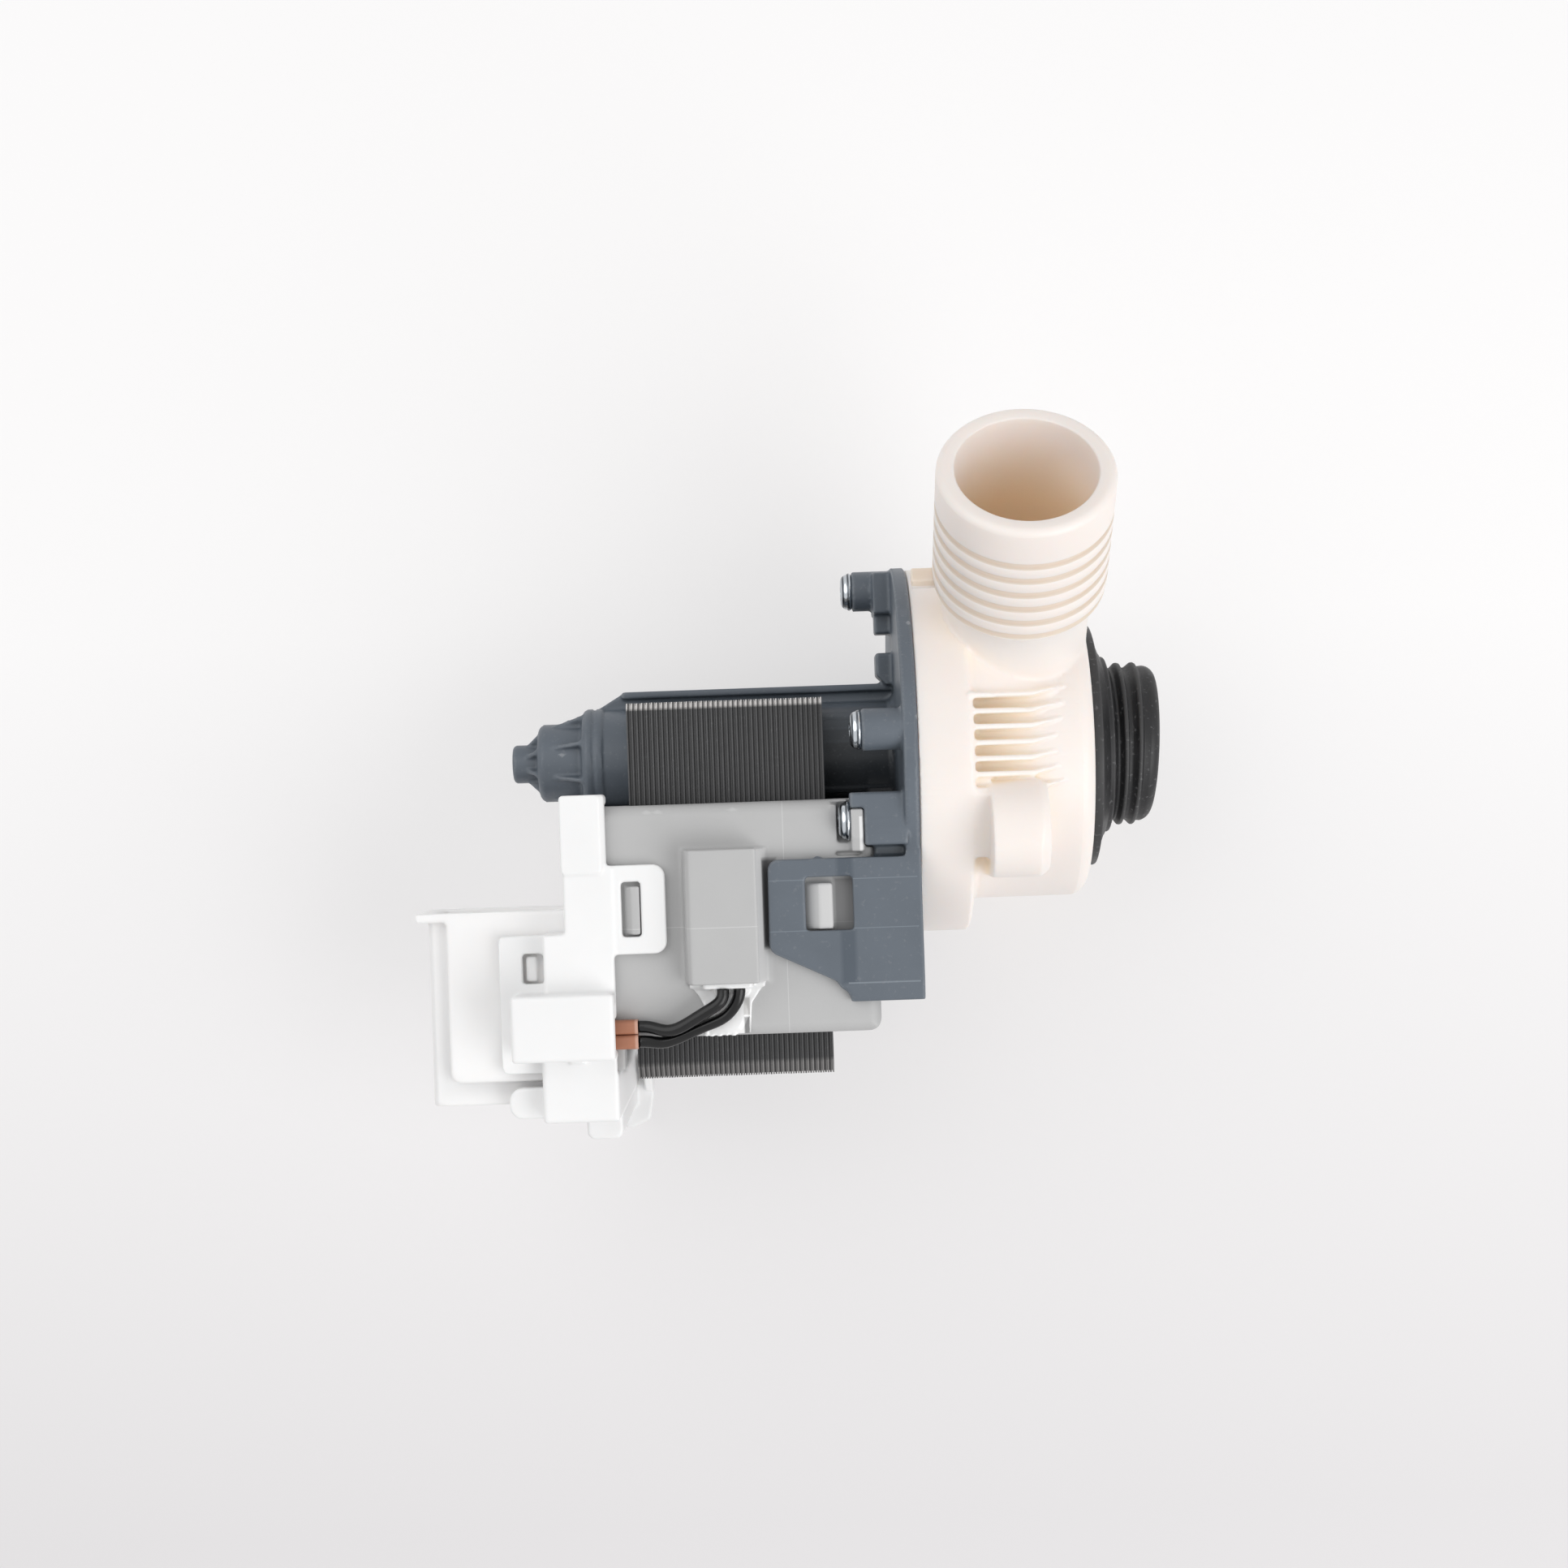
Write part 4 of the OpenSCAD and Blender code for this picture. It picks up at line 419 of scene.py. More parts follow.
def white_nylon():
    # Moulded nylon: cool white, satin, slightly see-through at thin edges
    return material("moulded_white_nylon", shades().white, 0.4, 0.6, 0.006, 18, 0.012, Subsurface_Weight=0.25,
                    Subsurface_Radius=(1.0, 0.92, 0.88), Subsurface_Scale=1.4 * MM, IOR=1.53)


def shroud_nylon():
    # Moulded nylon of another batch: a touch warmer, and light goes further into its thin walls
    return material("moulded_cream_nylon", shades().cream, 0.4, 0.6, 0.006, 18, 0.012, Subsurface_Weight=0.6,
                    Subsurface_Radius=(1.0, 0.94, 0.9), Subsurface_Scale=3 * MM, IOR=1.53)


def seal_rubber():
    # Pressed EPDM: soft sheen, fine skin and pale specks of dust and talc
    return material("pressed_black_rubber", shades().rubber, 0.5, 0.5, 0.02, 6, 0.25, 0.1, dust=0.22,
                    edge=0.2, IOR=1.47)


def zinc_steel():
    # Bright zinc plate on rolled steel: smooth, with dark rings painted round the head as a reflection of the
    # surroundings
    rings = [((x, -45, -45), (x + 0.4, 45, 45), "#31363c")
             for seat in (HEAD_SEAT, EAR_SEAT) for x in (seat - 0.95, seat - 2)]
    return material("bright_zinc_plate", linear("#c3c8cd"), 0.14, 1.2, 0.01, 3, 0.1, 0.05, marks=rings,
                    Metallic=1.0)


def sheet_steel():
    # Varnished electrical sheet: even dark gaps between the sheets, drawn at every second sheet so that they
    # show, and painted highlights on the chamfered edges of the poles and the yoke, where they catch the
    # light
    edges = [((-110, 9.95, -25), (-68, 12, 25), "#e6e3e1"), ((-110, -66, -25), (-68, -61.4, 25), "#8f8d8c")]
    return material("varnished_electrical_sheet", linear("#505051"), 0.42, 0.5, 0.01, 3, 0.1, 0.08,
                    pitch=bpy.context.scene.pump_sizes.sheet_pitch / MM, dust=0.1, marks=edges, Metallic=0.35)


def white_resin():
    # Cast resin: wet-looking, with a lumpy skin, and shade in the wedges between the leads
    wedges = [((-86.7, -54.8, 28), (-85.6, -51.4, 32), "#5e5e5e"),
              ((-86.7, -51, 28), (-85.5, -47.6, 32), "#b4b3b1")]
    return material("cast_white_resin", linear("#f4f4f4"), 0.14, 1.6, 0.05, 5, 0.01, 0.03, IOR=1.54,
                    marks=wedges, Coat_Weight=0.3, Coat_Roughness=0.08, Subsurface_Weight=0.2,
                    Subsurface_Radius=(1.0, 0.95, 0.9), Subsurface_Scale=0.8 * MM)


def lead_insulation():
    # Extruded silicone rubber: deep black with a soft wet line of light
    return material("extruded_black_insulation", linear("#0e0e0f"), 0.2, 0.7, 0.012, 3, 0.2, 0.06, IOR=1.42)


def terracotta_sleeve():
    # Extruded and cut sleeve: matte, and paler at its cut mouths
    cut = [((-108.1, -58, 29), (-107, -50, 35), "#cfa592")]
    return material("cut_terracotta_sleeve", shades().terracotta, 0.55, 0.4, 0.02, 2.5, 0.06, marks=cut,
                    IOR=1.5)


def natural_nylon():
    # Unpigmented moulded nylon: creamy and satin
    return material("moulded_natural_nylon", linear("#e3ddca"), 0.4, 0.6, 0.006, 12, 0.03, IOR=1.53)


def impeller_polypropylene():
    # Moulded polypropylene, glossier where the mould was polished
    return material("moulded_natural_polypropylene", linear("#ece5d6"), 0.34, 0.6, 0.006, 10, 0.03, IOR=1.49)


def enamelled_copper():
    # Wound enamelled wire: amber and glossy, broken up at the size of one turn, 0.3 mm
    return material("wound_enamelled_copper", linear("#b4622c"), 0.3, 0.3, 0.04, 4, 0.12, Metallic=0.8)


def tinned_brass():
    # Rolled and tin-plated brass: soft grey with a warm cast
    return material("rolled_tinned_brass", linear("#cbc7ba"), 0.28, 0.5, 0.006, 3, 0.06, Metallic=1.0)


def sintered_bronze():
    # Pressed powder bronze soaked with oil: open pores and a dull shine
    return material("sintered_bronze", linear("#8d7a62"), 0.5, 0.25, 0.03, 2, 0.12, Metallic=0.9)


def ground_steel():
    # Ground stainless steel: bright, with a fine dull bloom from the wheel
    return material("ground_stainless_steel", linear("#c4c7ca"), 0.22, 0.3, 0.004, 2, 0.04, Metallic=1.0)


def ferrite():
    # Sintered ferrite: charcoal grey, dull, with tiny chips
    return material("sintered_ferrite", linear("#46464a"), 0.6, 0.4, 0.03, 3, 0.12, IOR=2.0)


def pressed_metal():
    # Pressed and nickel-plated sheet: an even, softly bright case
    return material("pressed_nickel_plate", linear("#a6a8ab"), 0.32, 0.5, 0.01, 3, 0.08, Metallic=1.0)


# Shapes

def solid_of(node):
    """A CAD node's shape in millimetres, with its loose triangles joined."""
    bm = bmesh.new()
    bm.from_mesh(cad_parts[node].data)
    bmesh.ops.scale(bm, vec=Vector((1, 1, 1)) / MM, verts=bm.verts)
    bmesh.ops.remove_doubles(bm, verts=bm.verts, dist=0.001)
    return bm


def block(bm, low, high):
    """Adds a box."""
    low, high = Vector(low), Vector(high)
    place = Matrix.Translation((low + high) / 2) @ Matrix.Diagonal((*(high - low), 1))
    return bmesh.ops.create_cube(bm, size=1, matrix=place)["verts"]


def brick(low, high):
    """A box as a shape of its own."""
    bm = bmesh.new()
    block(bm, low, high)
    return bm


def rod(bm, start, end, radius, sides=32, tip=None):
    """Adds a round rod, or a cone if its tip has another radius."""
    start, end = Vector(start), Vector(end)
    turn = (end - start).to_track_quat("Z", "Y").to_matrix().to_4x4()
    return bmesh.ops.create_cone(
        bm, cap_ends=True, segments=sides, radius1=radius, radius2=radius if tip is None else tip,
        depth=(end - start).length, matrix=Matrix.Translation((start + end) / 2) @ turn)["verts"]


def ball(bm, centre, radii, detail=3):
    """Adds a round lump."""
    place = Matrix.Translation(centre) @ Matrix.Diagonal((*radii, 1))
    return bmesh.ops.create_icosphere(bm, subdivisions=detail, radius=1, matrix=place)["verts"]


def plate(bm, outline, axis, low, high):
    """Adds a plate: its outline lies across the axis, 0 to 2 for X to Z, and it runs from low to high."""
    corners = []
    for a, b in outline:
        point = [a, b]
        point.insert(axis, low)
        corners.append(bm.verts.new(point))
    face = bm.faces.new(corners)
    grown = bmesh.ops.extrude_face_region(bm, geom=[face])["geom"]
    step = [0, 0, 0]
    step[axis] = high - low
    verts = [g for g in grown if isinstance(g, bmesh.types.BMVert)]
    bmesh.ops.translate(bm, vec=step, verts=verts)
    faces = {f for v in verts + corners for f in v.link_faces}
    bmesh.ops.recalc_face_normals(bm, faces=list(faces))
    return corners + verts


def spun(profile, steps=160):
    """A ring about the motor axis from its closed outline in (radius, x)."""
    bm = bmesh.new()
    ring = [bm.verts.new((x, r, 0)) for r, x in profile]
    edges = [bm.edges.new(pair) for pair in zip(ring, ring[1:] + ring[:1])]
    bmesh.ops.spin(bm, geom=ring + edges, cent=(0, 0, 0), axis=(1, 0, 0), angle=math.tau, steps=steps,
                   use_merge=True)
    bmesh.ops.remove_doubles(bm, verts=bm.verts, dist=0.0005)
    bmesh.ops.recalc_face_normals(bm, faces=bm.faces)
    return bm


def curve(centre, radius, start, end, n=6):
    """Points of an arc for a spun outline."""
    angles = [math.radians(start + (end - start) * i / n) for i in range(n + 1)]
    return [(centre[0] + radius * math.cos(a), centre[1] + radius * math.sin(a)) for a in angles]


def shaped(bm, *modifiers):
    """Runs modifiers, each (kind, settings), over a shape and gives the result."""
    mesh = bpy.data.meshes.new("working")
    bm.to_mesh(mesh)
    bm.free()
    holder = bpy.data.objects.new("working", mesh)
    bpy.context.scene.collection.objects.link(holder)
    for kind, settings in modifiers:
        modifier = holder.modifiers.new(kind, kind)
        for name, value in settings.items():
            setattr(modifier, name, value)
    seen = holder.evaluated_get(bpy.context.evaluated_depsgraph_get())
    result = bmesh.new()
    result.from_mesh(seen.to_mesh())
    seen.to_mesh_clear()
    bpy.data.objects.remove(holder)
    bpy.data.meshes.remove(mesh)
    return result


def joined(bm, tool, operation):
    """Cuts a tool out of a shape, unites them, or keeps what they share."""
    mesh = bpy.data.meshes.new("tool")
    tool.to_mesh(mesh)
    tool.free()
    cutter = bpy.data.objects.new("tool", mesh)
    bpy.context.scene.collection.objects.link(cutter)
    result = shaped(bm, ("BOOLEAN", {"operation": operation, "solver": "MANIFOLD", "object": cutter}))
    bpy.data.objects.remove(cutter)
    bpy.data.meshes.remove(mesh)
    if not result.faces:
        raise RuntimeError("A cut left nothing of a piece")
    return result


def moulded(bm, passes=3, voxel=None):
    """Gives a shape the soft edges of a moulding."""
    size = voxel or bpy.context.scene.pump_sizes.voxel / MM
    return shaped(bm, ("REMESH", {"mode": "VOXEL", "voxel_size": size}),
                  ("SMOOTH", {"factor": 0.5, "iterations": passes}))


def trued(bm, line, radii, span=None, near=0.1):
    """Moves points that lie close to a turned surface exactly onto it."""
    origin, axis = line
    for v in bm.verts:
        out = v.co - origin
        along = out.dot(axis)
        if span and not span[0] <= along <= span[1]:
            continue
        out -= axis * along
        far = out.length
        for r in radii:
            if abs(far - r) < near:
                v.co += out * (r / far - 1)
                break


def thinned(bm, triangles):
    """Brings a shape down to a number of triangles."""
    count = sum(len(f.verts) - 2 for f in bm.faces)
    if count <= triangles:
        return bm
    return shaped(bm, ("DECIMATE", {"ratio": triangles / count}))


def eased(bm, width, angle=35, segments=2):
    """Bevels the sharp edges of a plain shape."""
    bmesh.ops.dissolve_limit(bm, angle_limit=math.radians(1), verts=bm.verts, edges=bm.edges)
    sharp = [e for e in bm.edges if len(e.link_faces) == 2 and e.calc_face_angle(0) > math.radians(angle)]
    bmesh.ops.bevel(bm, geom=sharp, offset=width, segments=segments, profile=0.5, material=-1, affect="EDGES",
                    clamp_overlap=True)
    return bm


def piece(name, bm, finish, body, nodes, weighted=True, sharp=None):
    """Makes a finished piece: it rides on a body and stands for its CAD nodes."""
    bmesh.ops.scale(bm, vec=Vector((1, 1, 1)) * MM, verts=bm.verts)
    mesh = bpy.data.meshes.new(name)
    bm.to_mesh(mesh)
    bm.free()
    mesh.shade_smooth()
    if sharp:
        mesh.set_sharp_from_angle(angle=math.radians(sharp))
    mesh.materials.append(finish)
    obj = bpy.data.objects.new(name, mesh)
    bpy.context.scene.collection.objects.link(obj)
    if weighted:
        normals = obj.modifiers.new("Weighted normals", "WEIGHTED_NORMAL")
        normals.keep_sharp = True
    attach(obj, body)
    if nodes:
        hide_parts(*nodes)
    return obj


def at_screws():
    """Centres of the screws across the motor axis, and where their heads seat."""
    return [(SCREW_CIRCLE * math.cos(math.radians(a)), SCREW_CIRCLE * math.sin(math.radians(a)), seat)
            for a, seat in SCREWS]


# Operators

class PUMP_OT_leads(bpy.types.Operator):
    """Make the two black leads and their terracotta sleeves"""
    bl_idname = "pump.make_leads"
    bl_label = "Leads and sleeves"

    def execute(self, context):
        radius = context.scene.pump_sizes.lead / 2
        for name, node, route in (("lead_upper", "lead_wire_upper", UPPER_LEAD),
                                  ("lead_lower", "lead_wire_lower", LOWER_LEAD)):
            line = bpy.data.curves.new(name, "CURVE")
            line.dimensions = "3D"
            line.bevel_depth = radius
            line.bevel_resolution = 6
            line.resolution_u = 6
            line.use_fill_caps = True
            spline = line.splines.new("NURBS")
            spline.points.add(len(route) - 1)
            for point, co in zip(spline.points, route):
                point.co = (*(Vector(co) * MM), 1)
            spline.use_endpoint_u = True
            spline.order_u = 4
            holder = bpy.data.objects.new("working", line)
            context.scene.collection.objects.link(holder)
            bm = bmesh.new()
            bm.from_mesh(holder.evaluated_get(context.evaluated_depsgraph_get()).to_mesh())
            bpy.data.objects.remove(holder)
            bpy.data.curves.remove(line)
            bmesh.ops.remove_doubles(bm, verts=bm.verts, dist=1e-6)
            bmesh.ops.recalc_face_normals(bm, faces=bm.faces)
            bmesh.ops.scale(bm, vec=Vector((1, 1, 1)) / MM, verts=bm.verts)
            piece(name, bm, lead_insulation(), "pump_body", [node], weighted=False)

        # Each sleeve is a long block with round edges and a hollow mouth
        bm = bmesh.new()
        bottom, top = SLEEVE_HEIGHT
        width, rounding, wall, hollow = 2.8, 0.75, 0.3, 0.9
        for y in SLEEVE_EDGES:
            made = block(bm, (SLEEVE_BACK, y, bottom), (SLEEVE_MOUTH, y + width, top))
            long = [e for e in {e for v in made for e in v.link_edges}
                    if abs((e.verts[0].co - e.verts[1].co).x) > 5]
            bmesh.ops.bevel(bm, geom=long, offset=rounding, segments=4, profile=0.5, material=-1,
                            affect="EDGES")
        mouths = [f for f in bm.faces if f.calc_center_median().x > SLEEVE_MOUTH - 0.1]
        bmesh.ops.inset_individual(bm, faces=mouths, thickness=wall)
        bmesh.ops.translate(bm, vec=(-hollow, 0, 0), verts=list({v for f in mouths for v in f.verts}))
        piece("lead_sleeves_cut", bm, terracotta_sleeve(), "pump_body", ["lead_sleeves"],
              sharp=50)
        return {"FINISHED"}


def turned_spigot():
    """The spigot's grooved end with its hose stop, in the frame."""
    # Its thin root stands inside the neck's wall, and the sides of its grooves slope a little
    root, inside, slope, bevel = 0.4, 0.05, 0.15, 0.35
    outline = [(SPIGOT_BORE_R + inside, SPIGOT_FOOT - root), (NECK_R - inside, SPIGOT_FOOT - root),
               (NECK_R - inside, SPIGOT_FOOT + inside)]
    outline += curve((NECK_R, SPIGOT_FOOT + 3.2), SPIGOT_R - NECK_R, -90, -20.5, 8)
    floor = SPIGOT_R - GROOVE_DEPTH
    for i in range(GROOVES):
        start = GROOVE_START + GROOVE_PITCH * i
        end = start + GROOVE_WIDTH
        outline += [(floor, start + slope), (floor, end - slope), (SPIGOT_R, end)]
        if i < GROOVES - 1:
            outline.append((SPIGOT_R, start + GROOVE_PITCH))
    # The collar narrows by 0.01 mm up to its round rim
    outline += curve((SPIGOT_R - 0.01 - RIM_ROUND, SPIGOT_END - RIM_ROUND), RIM_ROUND, 0, 90, 8)
    outline += [(SPIGOT_BORE_R + bevel, SPIGOT_END), (SPIGOT_BORE_R, SPIGOT_END - bevel)]
    stop = brick((STOP_START, SPIGOT_BORE_R + bevel, -STOP_WIDE / 2),
                 (STOP_START + STOP_THICK, SPIGOT_R + STOP_REACH, STOP_WIDE / 2))
    spigot = joined(spun(outline, 200), eased(stop, 0.4), "UNION")
    origin, axis = SPIGOT_AXIS
    side = Vector((-1, 0, 0))
    turn = Matrix((axis, side, axis.cross(side))).transposed().to_4x4()
    bmesh.ops.transform(spigot, matrix=Matrix.Translation(origin) @ turn, verts=spigot.verts)
    return spigot


class PUMP_OT_casing(bpy.types.Operator):
    """Make the ivory pump casing with its outlet spigot"""
    bl_idname = "pump.make_casing"
    bl_label = "Pump casing"

    def execute(self, context):
        bm = solid_of("volute_casing")
        for outline, low, high in CASING_FILLS:
            bm = joined(bm, joined(spun(outline), brick(low, high), "INTERSECT"), "UNION")

        # The lug's front: it is cut away down to the body, and a lug with a softer end is set in
        body = bmesh.new()
        rod(body, (-29, 0, 0), (-23, 0, 0), BODY_R + 0.1, 160)
        room = joined(brick(*LUG_CUT), body, "DIFFERENCE")
        bm = joined(bm, room, "DIFFERENCE")
        bend = LUG_FRONT - LUG_ROUND
        for start, end, tip in ((LUG_BACK, bend, LUG_R), (bend - 0.01, LUG_FRONT, LUG_R - 1)):
            lug = bmesh.new()
            rod(lug, (start, *LUG_AT), (end, *LUG_AT), LUG_R, 72, tip)
            bm = joined(bm, lug, "UNION")
        bm = moulded(bm, 4)

        # The neck's root runs out softly into the body
        origin, axis = SPIGOT_AXIS
        root = []
        for v in bm.verts:
            along = (v.co - origin).dot(axis)
            out = (v.co - origin - axis * along).length
            there = ROOT_OUT[0] < out < ROOT_OUT[1] and ROOT_ALONG[0] < along < ROOT_ALONG[1]
            if there and v.co.yz.length > ROOT_CLEAR:
                root.append(v)
        for _ in range(14):
            bmesh.ops.smooth_vert(bm, verts=root, factor=0.5, use_axis_x=True, use_axis_y=True,
                                  use_axis_z=True)
        trued(bm, MOTOR_AXIS, CASING_RADII)
        # The spigot adds triangles of its own
        bm = thinned(bm, MOST_TRIANGLES - 40000)

        # The spigot is turned anew, so that its grooves and its rim are crisp
        away = bmesh.new()
        rod(away, origin + axis * SPIGOT_FOOT, origin + axis * (SPIGOT_END + 5), 20, 64)
        bm = joined(bm, away, "DIFFERENCE")
        bm = joined(bm, turned_spigot(), "UNION")
        piece("pump_casing", bm, ivory_polypropylene(), "pump_body", ["volute_casing"])
        return {"FINISHED"}


class PUMP_OT_seal(bpy.types.Operator):
    """Make the barbed rubber inlet seal"""
    bl_idname = "pump.make_seal"
    bl_label = "Inlet seal"

    def execute(self, context):
        bm = spun(SEAL_FLANGE + SEAL_STEP + SEAL_BARBS + curve((13.7, -2.4), 2.4, 5, 84, 8) + SEAL_MOUTH)
        # The soft lip leans back, more towards its lower side and its front
        lean = context.scene.pump_sizes.seal_lean / MM
        for v in bm.verts:
            front = min(1, max(0, (v.co.x - LEAN_START) / (LEAN_FULL - LEAN_START)))
            v.co.x -= lean * front * max(0, LEAN_TOP - v.co.y) / LEAN_DEPTH
        piece("inlet_seal_barbed", bm, seal_rubber(), "pump_body", ["inlet_seal"], sharp=50)
        return {"FINISHED"}


class PUMP_OT_housing(bpy.types.Operator):
    """Make the slate motor housing"""
    bl_idname = "pump.make_housing"
    bl_label = "Motor housing"

    def execute(self, context):
        bm = solid_of("motor_housing")
        for low, high, centre, radius in ARM_CORNERS:
            core = bmesh.new()
            rod(core, (*centre, -46), (*centre, 46), radius)
            bm = joined(bm, joined(brick(low, high), core, "DIFFERENCE"), "DIFFERENCE")
        bm = joined(bm, brick(*EAR_WEB), "UNION")
        ball(bm, *ARM_BUMP)
        bm = moulded(bm, 3)
        trued(bm, MOTOR_AXIS, HOUSING_RADII)
        for y, z, seat in at_screws():
            trued(bm, (Vector((0, y, z)), MOTOR_AXIS[1]), BOSS_RADII, (seat, BOSS_FRONT))
        bm = thinned(bm, MOST_TRIANGLES)
        piece("motor_housing_moulding", bm, slate_polypropylene(), "pump_body", ["motor_housing"])
        return {"FINISHED"}


class PUMP_OT_screws(bpy.types.Operator):
    """Make the five zinc pan-head screws"""
    bl_idname = "pump.make_screws"
    bl_label = "Casing screws"

    def execute(self, context):
        shank_r, shank_end = 1.75, -43
        slot_long, slot_wide = 3.8, 0.84
        bm = bmesh.new()
        for y, z, seat in at_screws():
            part = spun([(0.0, seat), (3.5, seat)] + curve((3.35, seat - 0.55), 0.55, 80, -60, 5)
                        + curve((2.2, seat - 0.85), 1.45, -20, -85, 6)
                        + [(1.5, seat - 2.3), (1.4, seat - 2.2), (1.2, seat - 1.3), (0.0, seat - 0.9)], 40)
            slots = bmesh.new()
            for turn in (20, 110):
                made = block(slots, (seat - 3, -slot_long / 2, -slot_wide / 2),
                             (seat - 1.1, slot_long / 2, slot_wide / 2))
                bmesh.ops.rotate(slots, cent=(0, 0, 0), matrix=Matrix.Rotation(math.radians(turn), 3, "X"),
                                 verts=made)
            part = joined(part, slots, "DIFFERENCE")
            rod(part, (seat - 0.2, 0, 0), (shank_end, 0, 0), shank_r, 24)
            bmesh.ops.translate(part, vec=(0, y, z), verts=part.verts)
            mesh = bpy.data.meshes.new("working")
            part.to_mesh(mesh)
            part.free()
            bm.from_mesh(mesh)
            bpy.data.meshes.remove(mesh)
        piece("screws_pan_head", bm, zinc_steel(), "pump_body", ["casing_screws"], sharp=40)
        return {"FINISHED"}


class PUMP_OT_core(bpy.types.Operator):
    """Make the stack of stator sheets"""
    bl_idname = "pump.make_core"
    bl_label = "Stator sheets"

    def execute(self, context):
        pitch = context.scene.pump_sizes.sheet_pitch / MM
        low, high = (Vector(c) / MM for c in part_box("stator_core"))
        opening = math.degrees(math.asin(POLE_GAP / CORE_BORE_R))
        upper = curve((0, 0), CORE_BORE_R, 180 - opening, opening, 14)
        lower = curve((0, 0), CORE_BORE_R, -opening, opening - 180, 14)
        inside = low.y + YOKE_WIDE

        def outline(smaller):
            leg = [(high.y - smaller, POLE_GAP), (high.y - smaller, high.z - POLE_CHAMFER),
                   (high.y - POLE_CHAMFER, high.z - smaller), (low.y + YOKE_CHAMFER, high.z - smaller),
                   (low.y + smaller, high.z - YOKE_CHAMFER)]
            return [*leg, *((y, -z) for y, z in reversed(leg)), *lower,
                    (inside, -POLE_GAP), (inside, POLE_GAP), *upper]

        # Each sheet is a plate that lies a little off its place, and a solid middle closes the gaps
        rng = random.Random(7)
        play, half_gap = 0.06, 0.1
        bm = bmesh.new()
        plate(bm, outline(0.35), 0, low.x + 2 * half_gap, high.x - 2 * half_gap)
        x = low.x
        while x < high.x - pitch / 2:
            made = plate(bm, outline(0.0), 0, x + half_gap, x + pitch - half_gap)
            bmesh.ops.translate(bm, vec=(0, rng.uniform(-play, 0), rng.uniform(-play, 0)), verts=made)
            x += pitch
        piece("stator_sheets", bm, sheet_steel(), "pump_body", ["stator_core"], weighted=False,
              sharp=20)
        return {"FINISHED"}


class PUMP_OT_cover(bpy.types.Operator):
    """Make the grey coil cover and the white resin in its cutout box"""
    bl_idname = "pump.make_cover"
    bl_label = "Coil cover and resin"

    def execute(self, context):
        side = bmesh.new()
        plate(side, BOX_SLANT, 1, -44.7, -18.1)
        bm = joined(solid_of("coil_cover"), side, "DIFFERENCE")
        for low, high in EAR_FILLS:
            bm = joined(bm, brick(low, high), "UNION")
        bm = thinned(moulded(bm, 3), MOST_TRIANGLES)
        piece("coil_cover_moulding", bm, grey_polyester(), "pump_body", ["coil_cover"])

        bm = solid_of("potting_resin")
        plate(bm, RESIN_FUNNEL, 2, 29.7, 30.6)
        for start, end, radius in RESIN_BARS:
            rod(bm, start, end, radius)
        for x, y in RESIN_DROPS:
            ball(bm, (x, y, 30.4), (0.6, 0.35, 0.4))
        for centre, radii in RESIN_LUMPS:
            ball(bm, centre, radii)
        bm = thinned(moulded(bm, 6, 0.25), 60000)
        piece("resin_fill", bm, white_resin(), "pump_body", ["potting_resin"])
        return {"FINISHED"}


class PUMP_OT_connector(bpy.types.Operator):
    """Make the white connector housing"""
    bl_idname = "pump.make_connector"
    bl_label = "Connector housing"

    def execute(self, context):
        bm = thinned(moulded(solid_of("connector_housing"), 3), MOST_TRIANGLES)
        piece("connector_moulding", bm, white_nylon(), "pump_body", ["connector_housing"])
        return {"FINISHED"}


class PUMP_OT_shroud(bpy.types.Operator):
    """Make the plug shroud and its blades"""
    bl_idname = "pump.make_shroud"
    bl_label = "Plug shroud and blades"

    def execute(self, context):
        bm = solid_of("connector_shroud")
        for low, high in SHROUD_WALLS:
            bm = joined(bm, brick(low, high), "UNION")
        bm = thinned(moulded(bm, 7), 120000)
        piece("plug_shroud", bm, shroud_nylon(), "pump_body", ["connector_shroud"])
        bm = eased(solid_of("terminal_blades"), 0.12)
        piece("blades_tinned", bm, tinned_brass(), "pump_body", ["terminal_blades"], sharp=40)
        return {"FINISHED"}


class PUMP_OT_impeller(bpy.types.Operator):
    """Make the impeller"""
    bl_idname = "pump.make_impeller"
    bl_label = "Impeller"

    def execute(self, context):
        bm = eased(solid_of("impeller"), 0.2)
        piece("impeller_vaned", bm, impeller_polypropylene(), "impeller", ["impeller"],
              sharp=35)
        return {"FINISHED"}


class PUMP_OT_inner(bpy.types.Operator):
    """Give the inner parts, whose CAD shape is right, their finishes"""
    bl_idname = "pump.finish_inner"
    bl_label = "Inner finishes"

    def execute(self, context):
        groups = (
            (seal_rubber, ("casing_o_ring", "shaft_seal", "front_grommet", "rear_grommet", "dog_damper")),
            (natural_nylon, ("upper_bobbin", "lower_bobbin", "magnet_carrier", "thrust_washer", "drive_dog")),
            (enamelled_copper, ("upper_winding", "lower_winding")),
            (pressed_metal, ("thermal_cutout",)),
            (sintered_bronze, ("front_bearing", "rear_bearing")),
            (ground_steel, ("rotor_shaft",)),
            (ferrite, ("rotor_magnet",)))
        for finish, nodes in groups:
            for node in nodes:
                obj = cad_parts[node]
                if obj.material_slots:
                    for place in obj.material_slots:
                        place.material = finish()
                else:
                    obj.data.materials.append(finish())
        return {"FINISHED"}


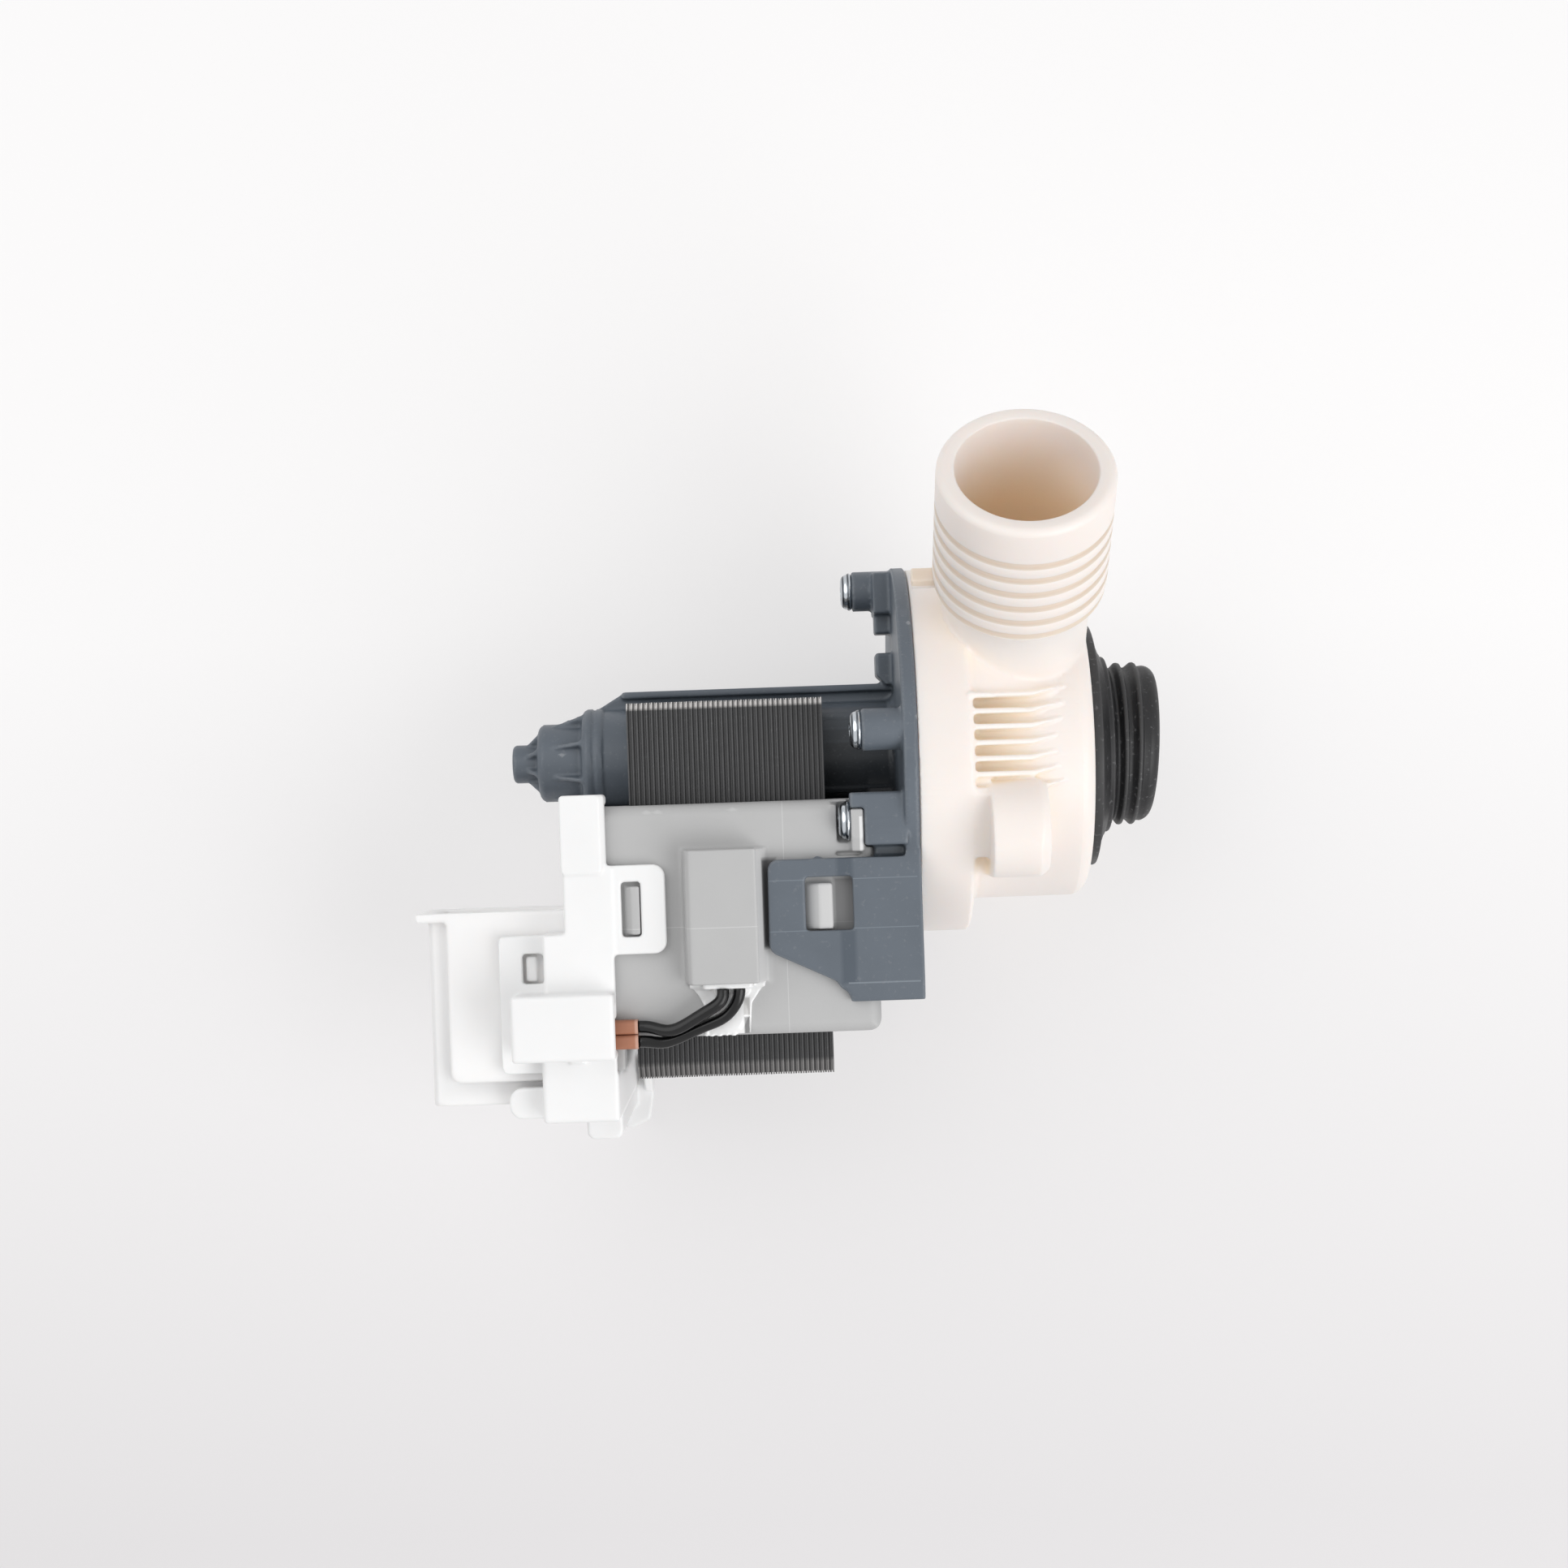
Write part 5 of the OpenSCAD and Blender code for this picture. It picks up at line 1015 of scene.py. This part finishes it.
def looked_at(tree):
    """1 for a ray of the camera, of a reflection or through glass, and 0 for one that only lights."""
    rays = add(tree, "ShaderNodeLightPath")
    seen = add(tree, "ShaderNodeMath", {"operation": "MAXIMUM"}, {
        0: rays.outputs["Is Camera Ray"], 1: rays.outputs["Is Glossy Ray"]})
    return add(tree, "ShaderNodeMath", {"operation": "MAXIMUM"}, {
        0: seen.outputs[0], 1: rays.outputs["Is Transmission Ray"]}).outputs[0]


def painted_board():
    # Painted board: dull, a little darker towards the bottom of the picture, and lifted for what looks at
    # it directly, so that its shadow stays soft without more light on the pump
    mat = bpy.data.materials.new("painted_board")
    mat.use_nodes = True
    tree = mat.node_tree
    paint = tree.nodes["Principled BSDF"]
    paint.inputs["Roughness"].default_value = 0.9
    paint.inputs["Specular IOR Level"].default_value = 0.1
    at = add(tree, "ShaderNodeTexCoord").outputs["Object"]
    up = add(tree, "ShaderNodeSeparateXYZ", inputs={"Vector": at}).outputs["Y"]
    slope = add(tree, "ShaderNodeMapRange", inputs={
        "Value": up, "From Min": -170 * MM, "From Max": 30 * MM, "To Min": 0.0, "To Max": 1.0})
    tone = add(tree, "ShaderNodeMix", {"data_type": "RGBA"}, {
        AMOUNT: slope.outputs["Result"], BELOW: (*linear("#e6e4e5"), 1),
        ABOVE: (*linear("#fcfbfb"), 1)}).outputs[BLENDED]
    tree.links.new(tone, paint.inputs["Base Color"])
    glow = add(tree, "ShaderNodeEmission", inputs={"Color": tone})
    share = add(tree, "ShaderNodeMath", {"operation": "MULTIPLY"}, {0: looked_at(tree), 1: 0.52})
    both = add(tree, "ShaderNodeMixShader", inputs={
        0: share.outputs[0], 1: paint.outputs["BSDF"], 2: glow.outputs["Emission"]})
    tree.links.new(both.outputs["Shader"], tree.nodes["Material Output"].inputs["Surface"])
    return mat


class PUMP_OT_stage(bpy.types.Operator):
    """Set up the camera, the lamps, the pale floor and the surroundings"""
    bl_idname = "pump.make_stage"
    bl_label = "Stage"

    def execute(self, context):
        scene = context.scene
        data = bpy.data.cameras.new("camera")
        data.sensor_fit = "HORIZONTAL"
        data.sensor_width = SENSOR
        data.lens = SENSOR * FOCAL_PX / FRAME_PX
        data.clip_start = 0.01
        camera = bpy.data.objects.new("camera", data)
        camera.location = CAMERA_AT
        camera.rotation_euler = (0, 0, CAMERA_ROLL)
        scene.collection.objects.link(camera)
        scene.camera = camera

        for name, place, size, power in LAMPS:
            lamp = bpy.data.lights.new(name, "AREA")
            lamp.shape = "SQUARE"
            lamp.size = size
            lamp.energy = power
            holder = bpy.data.objects.new(name, lamp)
            holder.location = place
            aim = Vector((-0.07, 0, 0)) - Vector(place)
            holder.rotation_euler = aim.to_track_quat("-Z", "Y").to_euler()
            scene.collection.objects.link(holder)

        # The surroundings look nearly white, and light the pump at a little over half of that
        world = bpy.data.worlds.new("studio")
        scene.world = world
        world.use_nodes = True
        tree = world.node_tree
        strength = add(tree, "ShaderNodeMapRange", inputs={
            "Value": looked_at(tree), "From Min": 0.0, "From Max": 1.0, "To Min": 0.53, "To Max": 0.97})
        tree.links.new(strength.outputs["Result"], tree.nodes["Background"].inputs["Strength"])
        tree.nodes["Background"].inputs["Color"].default_value = (*linear("#ffffff"), 1)

        bm = bmesh.new()
        bmesh.ops.create_grid(bm, x_segments=1, y_segments=1, size=4)
        bmesh.ops.translate(bm, vec=(0, 0, FLOOR_Z * MM), verts=bm.verts)
        mesh = bpy.data.meshes.new("floor")
        bm.to_mesh(mesh)
        bm.free()
        mesh.materials.append(painted_board())
        floor = bpy.data.objects.new("floor", mesh)
        scene.collection.objects.link(floor)

        scene.view_settings.view_transform = "Standard"
        return {"FINISHED"}


STEPS = (PUMP_OT_stage, PUMP_OT_leads, PUMP_OT_casing, PUMP_OT_seal, PUMP_OT_housing, PUMP_OT_screws,
         PUMP_OT_core, PUMP_OT_cover, PUMP_OT_connector, PUMP_OT_shroud, PUMP_OT_impeller, PUMP_OT_inner)


class PUMP_PT_panel(bpy.types.Panel):
    """Lists the pieces of the pump"""
    bl_idname = "PUMP_PT_panel"
    bl_label = "Drain Pump"
    bl_space_type = "VIEW_3D"
    bl_region_type = "UI"
    bl_category = "Drain Pump"

    def draw(self, context):
        layout = self.layout
        for group in (context.scene.pump_sizes, context.scene.pump_colours):
            for name in group.__annotations__:
                layout.prop(group, name)
        for step in STEPS:
            layout.operator(step.bl_idname)


CLASSES = (PumpSizes, PumpColours, *STEPS, PUMP_PT_panel)


def register():
    for cls in CLASSES:
        bpy.utils.register_class(cls)
    bpy.types.Scene.pump_sizes = bpy.props.PointerProperty(type=PumpSizes)
    bpy.types.Scene.pump_colours = bpy.props.PointerProperty(type=PumpColours)


def unregister():
    del bpy.types.Scene.pump_colours
    del bpy.types.Scene.pump_sizes
    for cls in reversed(CLASSES):
        bpy.utils.unregister_class(cls)


def main():
    register()
    for step in STEPS:
        group, name = step.bl_idname.split(".")
        getattr(getattr(bpy.ops, group), name)()


if __name__ == "__main__":
    main()
